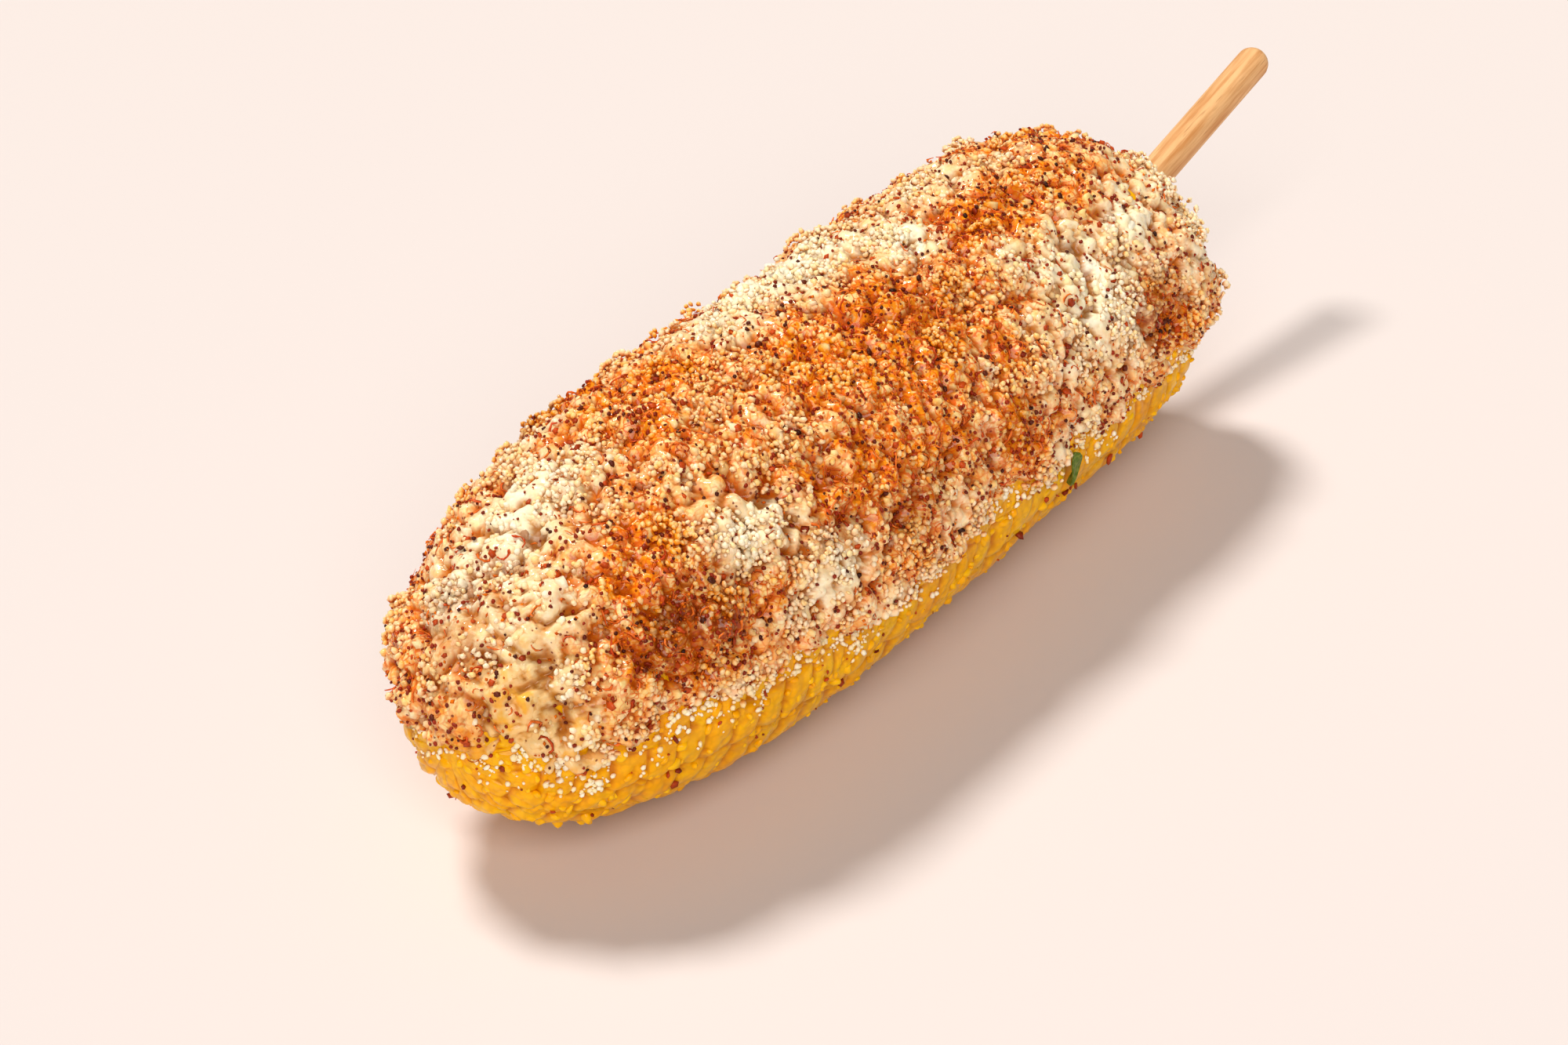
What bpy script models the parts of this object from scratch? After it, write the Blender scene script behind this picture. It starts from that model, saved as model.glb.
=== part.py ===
"""Elote: an ear of corn on a wooden stick, its upper half under a coat of crema and cheese.

Metres, +Z up. The ear lies along X with its tip at -X and its butt at +X, where the stick comes out.
It rests on a small flat spot on its underside, and the middle of that spot is the origin.

Three sub-parts: the ear with its rows of kernels, the coat that lies over its upper half, and the
stick in its blind hole. Angles round the ear are measured from +Y (the back) over the top, so that
90 degrees is up and 180 degrees is the front.
"""

import math

import bmesh
import bpy
import numpy as np
from mathutils import Matrix

# Outline of the coated ear.
COAT_LENGTH = 0.1783
STATIONS = (0.12, 0.50, 0.88)  # shares of the length, from the tip
STATION_RADII = (0.0297, 0.0295, 0.0276)
TIP_SHARE = 0.44  # share of the length over which the tip rounds off
BUTT_SHARE = 0.14
ROUNDING = 2.5  # exponent of the superelliptic ends
AXIS_HEIGHT = 0.0258

# Coat of crema and cheese.
COAT_THICKNESS = 0.0026
LUMP_HEIGHT = 0.00055
COAT_EDGE_DROP = 0.0022  # how far below the ear's axis the coat ends, on average
EDGE_THINNING = 0.55  # share of the thickness that is lost at the lower edge
THINNING_HEIGHT = 0.009
GAP = 0.00035  # kept between neighbouring sub-parts

# Ear and its kernels.
KERNEL_ROWS = 18
KERNELS_PER_ROW = 36
KERNEL_DEPTH = 0.0009
ROW_TWIST = math.radians(4)  # turn of the rows from tip to butt
COB_RADIUS = 0.0108
COB_GROOVE = 0.0015
COB_OPENING_RADIUS = 0.0125  # the coat stops round the cob's cut face

# Stick.
STICK_RADIUS = 0.00285
STICK_TILT = math.radians(13.55)
STICK_RISE = 0.0067  # height of its axis over the ear's axis, at the coated end's plane
STICK_SHOWN = 0.0442
STICK_HIDDEN = 0.0600

# Fineness of the meshes.
COAT_OUTER_STEPS = 42
COAT_OUTER_RINGS = 42
COAT_INNER_STEPS = 32
COAT_INNER_RINGS = 30
STICK_STEPS = 20
FINE = 2000  # samples of an outline before it is divided evenly
WELD = 0.00001

# Linear colour and roughness of each material.
FINISHES = {
    "kernels": ((0.83, 0.44, 0.035, 1.0), 0.38),
    "crema_cheese": ((0.86, 0.66, 0.40, 1.0), 0.62),
    "stick_wood": ((0.72, 0.42, 0.19, 1.0), 0.60),
}


def outline(length, inset):
    """Points (x, radius) along an outline that lies inset inside the coat, evenly fine in share.

    The radius is a parabola through the three stations, less the inset, times a superelliptic
    rounding at each end.
    """
    share = 0.5 - 0.5 * np.cos(np.linspace(0.0, math.pi, FINE))
    body = np.polyval(np.polyfit(STATIONS, STATION_RADII, 2), share) - inset
    to_tip = 1.0 - np.clip(share / TIP_SHARE, 0.0, 1.0)
    to_butt = 1.0 - np.clip((1.0 - share) / BUTT_SHARE, 0.0, 1.0)
    tip = (1.0 - to_tip**ROUNDING) ** (1.0 / ROUNDING)
    butt = (1.0 - to_butt**ROUNDING) ** (1.0 / ROUNDING)
    return (share - 0.5) * length, body * tip * butt


def arc_lengths(x, radius):
    """Distance along an outline from its first point to each of its points."""
    return np.concatenate([[0.0], np.cumsum(np.hypot(np.diff(x), np.diff(radius)))])


def divided(x, radius, count):
    """An outline divided into count pieces of equal arc length."""
    arc = arc_lengths(x, radius)
    even = np.linspace(0.0, arc[-1], count + 1)
    return np.interp(even, arc, x), np.interp(even, arc, radius)


def collection(name):
    """A new collection in the scene."""
    made = bpy.data.collections.new(name)
    bpy.context.scene.collection.children.link(made)
    return made


def material(name):
    """A Principled material with the colour and roughness of that finish."""
    colour, roughness = FINISHES[name]
    made = bpy.data.materials.new(name)
    made.use_nodes = True
    shader = made.node_tree.nodes["Principled BSDF"]
    shader.inputs["Base Color"].default_value = colour
    shader.inputs["Roughness"].default_value = roughness
    shader.inputs["Metallic"].default_value = 0.0
    return made


def mesh_object(name, mesh, home, carrier):
    """A new object for a mesh, in a collection and parented to the ear's axis."""
    made = bpy.data.objects.new(name, mesh)
    home.objects.link(made)
    made.parent = carrier
    return made


def turned(name, x, radius, steps, home, carrier):
    """A solid turned about the X axis from an outline whose two ends lie on the axis."""
    mesh = bpy.data.meshes.new(name)
    points = [(px, 0.0, max(pr, 0.0)) for px, pr in zip(x, radius)]
    mesh.from_pydata(points, [(i, i + 1) for i in range(len(points) - 1)], [])
    made = mesh_object(name, mesh, home, carrier)
    screw = made.modifiers.new("turn", "SCREW")
    screw.axis = "X"
    screw.steps = steps
    screw.render_steps = steps
    screw.use_merge_vertices = True
    screw.merge_threshold = WELD
    bake(made)
    return made


def bake(obj):
    """Replaces an object's mesh by what its modifiers make, welded, with its faces pointing out."""
    evaluated = obj.evaluated_get(bpy.context.evaluated_depsgraph_get())
    mesh = bpy.data.meshes.new_from_object(evaluated)
    obj.modifiers.clear()
    obj.data = mesh
    shape = bmesh.new()
    shape.from_mesh(mesh)
    bmesh.ops.remove_doubles(shape, verts=shape.verts, dist=WELD)
    bmesh.ops.recalc_face_normals(shape, faces=shape.faces)
    shape.to_mesh(mesh)
    shape.free()


def cylindrical(mesh):
    """A turned mesh's vertices as arrays of x, radius and angle round the ear."""
    points = np.empty(len(mesh.vertices) * 3)
    mesh.vertices.foreach_get("co", points)
    x, y, z = points.reshape(-1, 3).T
    return x, np.hypot(y, z), np.arctan2(z, y)


def set_cylindrical(mesh, x, radius, angle):
    """Moves a turned mesh's vertices to new x, radius and angle."""
    points = np.stack([x, radius * np.cos(angle), radius * np.sin(angle)], axis=1)
    mesh.vertices.foreach_set("co", points.ravel())
    mesh.update()


def cut(obj, cutter):
    """Takes a cutter out of an object."""
    boolean = obj.modifiers.new("cut_" + cutter.name, "BOOLEAN")
    boolean.operation = "DIFFERENCE"
    boolean.solver = "EXACT"
    boolean.object = cutter
    cutter.hide_render = True
    cutter.display_type = "WIRE"


def box_below_floor(home, carrier):
    """A block whose top is the floor, which leaves the flat spot that the ear rests on."""
    size = 2.0 * COAT_LENGTH
    mesh = bpy.data.meshes.new("floor_cutter")
    shape = bmesh.new()
    bmesh.ops.create_cube(shape, size=size)
    bmesh.ops.translate(shape, verts=shape.verts, vec=(0.0, 0.0, -AXIS_HEIGHT - size / 2.0))
    shape.to_mesh(mesh)
    shape.free()
    return mesh_object("floor_cutter", mesh, home, carrier)


def rod(name, radius, low, high, placed, home, carrier):
    """A plain cylinder along X from low to high, moved by a matrix. It serves as a cutter."""
    mesh = bpy.data.meshes.new(name)
    shape = bmesh.new()
    middle = Matrix.Translation(((low + high) / 2.0, 0.0, 0.0))
    bmesh.ops.create_cone(
        shape,
        cap_ends=True,
        segments=STICK_STEPS,
        radius1=radius,
        radius2=radius,
        depth=high - low,
        matrix=middle @ Matrix.Rotation(math.pi / 2.0, 4, "Y"),
    )
    shape.transform(placed)
    shape.to_mesh(mesh)
    shape.free()
    return mesh_object(name, mesh, home, carrier)


def stick_place():
    """The stick's place on the ear's axis: its own +X runs out of the butt, tilted up."""
    return Matrix.Translation((COAT_LENGTH / 2.0, 0.0, STICK_RISE)) @ Matrix.Rotation(-STICK_TILT, 4, "Y")


def ear_outline():
    """The ear's outline under the coat, and the cob's cut face in a groove at its butt."""
    x, radius = outline(COAT_LENGTH - 2.0 * COAT_THICKNESS, COAT_THICKNESS)
    kernels = (x < 0.0) | (radius > COB_RADIUS)
    x, radius = divided(x[kernels], radius[kernels], 2 * KERNELS_PER_ROW)
    rim = x[-1]
    cob_x = [rim - COB_GROOVE, rim - COB_GROOVE, rim, rim]
    cob_radius = [COB_RADIUS, 0.94 * COB_RADIUS, 0.88 * COB_RADIUS, 0.0]
    return np.append(x, cob_x), np.append(radius, cob_radius)


def kernel_relief(arc, pitch, angle):
    """Depth below the kernels' crowns, as a share: 0 on a crown, 1 in the furrows between rows.

    Across a row the crown is a squared cosine. Along a row another one repeats at the kernels'
    pitch, half a pitch later in each second row, and is half as deep.
    """
    across = np.cos(KERNEL_ROWS * angle / 2.0) ** 2
    row = np.round(angle * KERNEL_ROWS / (2.0 * math.pi))
    along = np.cos(math.pi * (arc / pitch + 0.5 * np.mod(row, 2.0))) ** 2
    return 1.0 - across * (0.5 + 0.5 * along)


def make_ear(home, cutters, carrier):
    """The ear: a turned body with its kernels sunk into rows, a flat spot and the stick's hole."""
    x, radius = ear_outline()
    ear = turned("ear", x, radius, 2 * KERNEL_ROWS, home, carrier)
    kernels_end = 2 * KERNELS_PER_ROW + 1
    arc = arc_lengths(x[:kernels_end], radius[:kernels_end])
    pitch = arc[-1] / KERNELS_PER_ROW
    px, pr, angle = cylindrical(ear.data)
    depth = KERNEL_DEPTH * kernel_relief(np.interp(px, x[:kernels_end], arc), pitch, angle)
    depth *= np.clip((pr - 1.1 * COB_RADIUS * (px > 0.0)) / COB_RADIUS, 0.0, 1.0)
    set_cylindrical(ear.data, px, pr - depth, angle + ROW_TWIST * px / COAT_LENGTH)
    cut(ear, box_below_floor(cutters, carrier))
    hole = (STICK_RADIUS + GAP, -STICK_HIDDEN - GAP, STICK_SHOWN)
    cut(ear, rod("stick_hole_cutter", *hole, stick_place(), cutters, carrier))
    ear.data.materials.append(material("kernels"))
    return ear


def edge_height(x, front):
    """Height of the coat's lower edge over the ear's axis, at x, on the front or the back."""
    turn = 2.0 * math.pi * x / COAT_LENGTH
    phase = np.where(front, 0.0, 1.9)
    waves = 0.0016 * np.sin(3.0 * turn + 0.6 + phase) + 0.0011 * np.sin(7.0 * turn - 0.8 + 2.0 * phase)
    ends = -0.0045 * np.clip(np.abs(x) / (COAT_LENGTH / 2.0), 0.0, 1.0) ** 6
    return -COAT_EDGE_DROP + waves + ends


def swelling(x, angle):
    """Slow rise and fall of the coat: a waist at the middle of the top, lumps all over."""
    waist = -0.0005 * np.exp(-((x / 0.03) ** 2)) * np.clip(np.sin(angle), 0.0, 1.0)
    lumps = np.sin(430.0 * x + 2.0 * np.sin(3.0 * angle)) * np.sin(5.0 * angle + 1.3 * np.sin(90.0 * x))
    finer = np.sin(700.0 * x + 1.0) * np.sin(9.0 * angle + 0.4)
    return waist + LUMP_HEIGHT * (0.65 * lumps + 0.35 * finer)


def edge_cutter(home, carrier):
    """A block under a wavy surface that takes the coat's lower half away."""
    half_length, half_width = 0.6 * COAT_LENGTH, 1.4 * max(STATION_RADII)
    bottom = -2.0 * max(STATION_RADII)
    mesh = bpy.data.meshes.new("coat_edge_cutter")
    shape = bmesh.new()
    place = Matrix.Diagonal((half_length, half_width, 1.0, 1.0))
    bmesh.ops.create_grid(shape, x_segments=46, y_segments=4, size=1.0, matrix=place)
    made = bmesh.ops.extrude_face_region(shape, geom=list(shape.faces))
    lifted = {vert for vert in made["geom"] if isinstance(vert, bmesh.types.BMVert)}
    for vert in shape.verts:
        vert.co.z = float(edge_height(vert.co.x, vert.co.y < 0.0)) if vert in lifted else bottom
    bmesh.ops.recalc_face_normals(shape, faces=shape.faces)
    shape.to_mesh(mesh)
    shape.free()
    return mesh_object("coat_edge_cutter", mesh, home, carrier)


def make_coat(home, cutters, carrier):
    """The coat: an uneven outer skin less the ear's room, ending in a thin wavy edge at mid height."""
    x, radius = divided(*outline(COAT_LENGTH, 0.0), COAT_OUTER_RINGS)
    coat = turned("coating", x, radius, COAT_OUTER_STEPS, home, carrier)
    px, pr, angle = cylindrical(coat.data)
    above_edge = pr * np.sin(angle) - edge_height(px, np.cos(angle) < 0.0)
    rise = np.clip(above_edge / THINNING_HEIGHT, 0.0, 1.0)
    thinning = EDGE_THINNING * COAT_THICKNESS * (1.0 - rise * rise * (3.0 - 2.0 * rise))
    rounded = np.clip(pr / COB_RADIUS, 0.0, 1.0)
    set_cylindrical(coat.data, px, pr + rounded * (rise * swelling(px, angle) - thinning), angle)

    room_length = COAT_LENGTH - 2.0 * COAT_THICKNESS + 2.0 * GAP
    room = divided(*outline(room_length, COAT_THICKNESS - GAP), COAT_INNER_RINGS)
    cut(coat, turned("ear_room_cutter", *room, COAT_INNER_STEPS, cutters, carrier))
    cut(coat, edge_cutter(cutters, carrier))
    opening = (COB_OPENING_RADIUS, COAT_LENGTH / 4.0, COAT_LENGTH)
    cut(coat, rod("cob_opening_cutter", *opening, Matrix.Identity(4), cutters, carrier))
    coat.data.materials.append(material("crema_cheese"))
    return coat


def make_stick(home, carrier):
    """The stick: a turned dowel with a domed free end and an eased inner end."""
    dome = np.linspace(0.0, math.pi / 2.0, 6)
    ease = 0.2 * STICK_RADIUS
    x = np.concatenate(
        [
            [-STICK_HIDDEN, -STICK_HIDDEN, ease - STICK_HIDDEN],
            STICK_SHOWN - STICK_RADIUS + STICK_RADIUS * np.sin(dome),
        ]
    )
    radius = np.concatenate([[0.0, STICK_RADIUS - ease, STICK_RADIUS], STICK_RADIUS * np.cos(dome)])
    stick = turned("stick", x, radius, STICK_STEPS, home, carrier)
    stick.matrix_basis = stick_place()
    stick.data.materials.append(material("stick_wood"))
    return stick


def main():
    """Clears the scene and makes the elote on an empty that stands for the ear's axis."""
    for old in list(bpy.data.objects):
        bpy.data.objects.remove(old)
    parts = collection("elote")
    cutters = collection("elote_cutters")
    axis = bpy.data.objects.new("ear_axis", None)
    axis.location = (0.0, 0.0, AXIS_HEIGHT)
    parts.objects.link(axis)
    bpy.context.view_layer.update()
    for part in (make_ear(parts, cutters, axis), make_coat(parts, cutters, axis), make_stick(parts, axis)):
        part.data.shade_smooth()
        part.data.set_sharp_from_angle(angle=math.radians(50))


main()
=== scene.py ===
"""Looks of an elote: corn on a stick under a lumpy coat of crema, crumbled cheese and chili.

Metres, +Z up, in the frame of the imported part. The ear lies along X, tip at -X. A place on the ear is
given by its arc, the distance along the outline from the tip, and its angle round the axis: 0 degrees
is the back, 90 degrees the top and 180 degrees the front.
"""

import logging
import math
from dataclasses import dataclass, replace
from enum import Enum
from functools import cached_property
from typing import Callable

import bpy
import numpy as np
from mathutils import Matrix, Vector


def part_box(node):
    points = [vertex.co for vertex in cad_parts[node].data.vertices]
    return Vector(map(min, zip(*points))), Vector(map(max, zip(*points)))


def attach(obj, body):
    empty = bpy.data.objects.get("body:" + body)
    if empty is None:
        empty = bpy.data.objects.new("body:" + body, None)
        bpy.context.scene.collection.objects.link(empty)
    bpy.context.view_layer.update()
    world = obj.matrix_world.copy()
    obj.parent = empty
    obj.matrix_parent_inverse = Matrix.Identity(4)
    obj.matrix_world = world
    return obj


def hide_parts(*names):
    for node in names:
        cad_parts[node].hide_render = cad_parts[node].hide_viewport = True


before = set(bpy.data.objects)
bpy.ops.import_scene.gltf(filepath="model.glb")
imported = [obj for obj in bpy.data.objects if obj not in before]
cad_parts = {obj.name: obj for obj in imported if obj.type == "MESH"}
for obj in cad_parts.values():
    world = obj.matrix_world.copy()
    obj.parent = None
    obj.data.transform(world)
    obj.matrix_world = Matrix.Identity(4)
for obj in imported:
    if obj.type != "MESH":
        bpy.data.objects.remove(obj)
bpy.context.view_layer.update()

LOG = logging.getLogger("elote")
MM = 0.001
TURN = 2.0 * math.pi

Array = np.ndarray
Random = np.random.Generator
Node = bpy.types.Node
Socket = bpy.types.NodeSocket
Outputs = bpy.types.NodeOutputs
Tree = bpy.types.NodeTree
Thing = bpy.types.Object
Material = bpy.types.Material
Given = Socket | float | tuple
Painted = tuple[dict[str, Socket], Socket | None, float]
Weight = Callable[[Array, Array], Array]


# Arrays


def smooth_step(value: Array, low: float, high: float) -> Array:
    """Rises from 0 at low to 1 at high along 3t^2 - 2t^3."""
    t = np.clip((value - low) / (high - low), 0.0, 1.0)
    return t * t * (3.0 - 2.0 * t)


def linear(red: int, green: int, blue: int) -> tuple[float, float, float, float]:
    """A display colour of 0 to 255 a channel as the linear colour that shaders take."""
    channels = np.array([red, green, blue]) / 255.0
    low, high = channels / 12.92, ((channels + 0.055) / 1.055) ** 2.4
    return (*(float(c) for c in np.where(channels <= 0.04045, low, high)), 1.0)


def random_turns(rng: Random, count: int) -> Array:
    """Evenly spread random rotations, from unit quaternions.

    Args:
        rng: the source of random numbers.
        count: how many rotations to draw.

    Returns:
        An array of count rotation matrices.
    """
    w, x, y, z = (q := rng.normal(size=(count, 4))).T / np.linalg.norm(q, axis=1)
    rows = [
        [1 - 2 * (y * y + z * z), 2 * (x * y - z * w), 2 * (x * z + y * w)],
        [2 * (x * y + z * w), 1 - 2 * (x * x + z * z), 2 * (y * z - x * w)],
        [2 * (x * z - y * w), 2 * (y * z + x * w), 1 - 2 * (x * x + y * y)],
    ]
    return np.moveaxis(np.array(rows), 2, 0)


def flat_turns(rng: Random, normals: Array) -> Array:
    """Rotations that lay a shape's Z along each normal, spun at random about it."""
    helper = np.where(np.abs(normals[:, :1]) < 0.9, [[1.0, 0.0, 0.0]], [[0.0, 1.0, 0.0]])
    across = np.cross(normals, helper)
    across /= np.linalg.norm(across, axis=1, keepdims=True)
    along = np.cross(normals, across)
    spin = rng.uniform(0.0, TURN, len(normals))[:, None]
    first = across * np.cos(spin) + along * np.sin(spin)
    return np.stack([first, np.cross(normals, first), normals], axis=2)


TABLE_ROWS = 4096
CELL_PRIMES = (73856093, 19349663, 83492791)


@dataclass(frozen=True)
class Noise:
    """Seeded noise over space, from a table of random numbers looked up by lattice cell.

    Attributes:
        seed: which noise it is.
    """

    seed: int

    def _table(self) -> Array:
        """The table: rows of three random numbers from 0 to 1."""
        return np.random.default_rng(self.seed).random((TABLE_ROWS, 3))

    @staticmethod
    def _rows(cell: Array) -> Array:
        """The table row of each lattice cell."""
        mixed = np.bitwise_xor.reduce(cell * np.array(CELL_PRIMES), axis=-1)
        return (mixed ^ (mixed >> 13)) & (TABLE_ROWS - 1)

    def smooth(self, points: Array, size: float) -> Array:
        """Value noise from -1 to 1: lattice values mixed by the quintic 6t^5 - 15t^4 + 10t^3.

        Args:
            points: places, as rows of x, y, z.
            size: the lattice's spacing.

        Returns:
            One value for each place.
        """
        table = self._table()[:, 0]
        scaled = points / size
        cell = np.floor(scaled).astype(np.int64)
        t = scaled - cell
        t = t**3 * (t * (6.0 * t - 15.0) + 10.0)
        total = np.zeros(len(points))
        for corner in np.ndindex(2, 2, 2):
            offset = np.array(corner)
            weight = np.prod(np.where(offset == 1, t, 1.0 - t), axis=1)
            total += weight * table[self._rows(cell + offset)]
        return 2.0 * total - 1.0

    def layered(self, points: Array, size: float, layers: int) -> Array:
        """Smooth noise summed over layers, each half as large and 0.55 times as strong."""
        shifts = 17.0 * np.arange(layers)[:, None] * np.ones(3)
        parts = [0.55**i * self.smooth(points + shifts[i] * size, size / 2.0**i) for i in range(layers)]
        return sum(parts) / sum(0.55**i for i in range(layers))

    def cells(self, points: Array, size: float) -> Array:
        """The distance to the nearest of one random point in each lattice cell.

        Args:
            points: places, as rows of x, y, z.
            size: the lattice's spacing.

        Returns:
            The distance, in spacings.
        """
        table = self._table()
        scaled = points / size
        cell = np.floor(scaled).astype(np.int64)
        nearest = np.full(len(points), np.inf)
        for step in np.ndindex(3, 3, 3):
            neighbour = cell + (np.array(step) - 1)
            away = neighbour + table[self._rows(neighbour)] - scaled
            nearest = np.minimum(nearest, np.sum(away**2, axis=1))
        return np.sqrt(nearest)

    def domes(self, points: Array, size: float, spread: float = 0.75) -> Array:
        """Rounded bumps of about one spacing: the square root of 1 - (distance / spread)^2."""
        return np.sqrt(np.clip(1.0 - (self.cells(points, size) / spread) ** 2, 0.0, 1.0))


# Meshes


@dataclass
class Surface:
    """Arrays of a mesh on their way into Blender.

    Attributes:
        points: rows of x, y, z.
        corners: the vertex of each face corner, face after face.
        sizes: how many corners each face has.
        values: named numbers, one for each vertex, that materials read.
    """

    points: Array
    corners: Array
    sizes: Array
    values: dict[str, Array]

    def to_object(self, name: str) -> Thing:
        """Makes a smooth-shaded object at the origin, linked to the scene.

        Args:
            name: the piece's name.

        Returns:
            The new object.
        """
        mesh = bpy.data.meshes.new(name)
        mesh.vertices.add(len(self.points))
        mesh.vertices.foreach_set("co", self.points.astype(np.float32).ravel())
        mesh.loops.add(len(self.corners))
        mesh.loops.foreach_set("vertex_index", self.corners.astype(np.int32))
        mesh.polygons.add(len(self.sizes))
        starts = np.concatenate([[0], np.cumsum(self.sizes)[:-1]])
        mesh.polygons.foreach_set("loop_start", starts.astype(np.int32))
        mesh.update(calc_edges=True)
        mesh.validate()
        for key, numbers in self.values.items():
            attribute = mesh.attributes.new(key, "FLOAT", "POINT")
            attribute.data.foreach_set("value", numbers.astype(np.float32).ravel())
        mesh.shade_smooth()
        made = bpy.data.objects.new(name, mesh)
        bpy.context.scene.collection.objects.link(made)
        return made


def closed_tube(rings: Array, values: dict[str, Array]) -> Surface:
    """Joins rings of points into a closed skin, with a fan at each end.

    Args:
        rings: an array of rings, each an array of points that runs once round the tube. The first and
            the last ring are poles: all their points are one point.
        values: named arrays with one number for each point of the rings.

    Returns:
        The surface, its faces outwards when the rings run along X and round from +Y to +Z.
    """
    count, steps = rings.shape[:2]
    inner = rings[1:-1].reshape(-1, 3)
    points = np.concatenate([rings[:1, 0], inner, rings[-1:, 0]])
    numbers = {k: np.concatenate([v[:1, 0], v[1:-1].ravel(), v[-1:, 0]]) for k, v in values.items()}
    index = 1 + np.arange((count - 2) * steps).reshape(count - 2, steps)
    beside = np.roll(index, -1, axis=1)
    quads = np.stack([index[:-1], beside[:-1], beside[1:], index[1:]], axis=-1).reshape(-1, 4)
    last = len(points) - 1
    first_fan = np.stack([np.zeros(steps, int), beside[0], index[0]], axis=-1)
    last_fan = np.stack([np.full(steps, last), index[-1], beside[-1]], axis=-1)
    corners = np.concatenate([first_fan.ravel(), quads.ravel(), last_fan.ravel()])
    sizes = np.repeat([3, 4, 3], [steps, len(quads), steps])
    return Surface(points, corners, sizes, numbers)


def softened(grid: Array, rounds: int) -> Array:
    """A grid of numbers blurred by averaging each with its four neighbours, again and again."""
    for _ in range(rounds):
        ends = np.concatenate([grid[:1], grid, grid[-1:]])
        along = ends[:-2] + ends[2:]
        around = np.roll(grid, 1, axis=1) + np.roll(grid, -1, axis=1)
        grid = 0.2 * (grid + along + around)
    return grid


def columns(first: float, last: float, fine: int, coarse: int) -> Array:
    """Angles once round the ear, in radians: fine ones from first to last degrees, then coarse ones."""
    close = np.linspace(first, last, fine)
    wide = np.linspace(last, first + 360.0, coarse + 2)[1:-1]
    return np.radians(np.concatenate([close, wide]))


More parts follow.
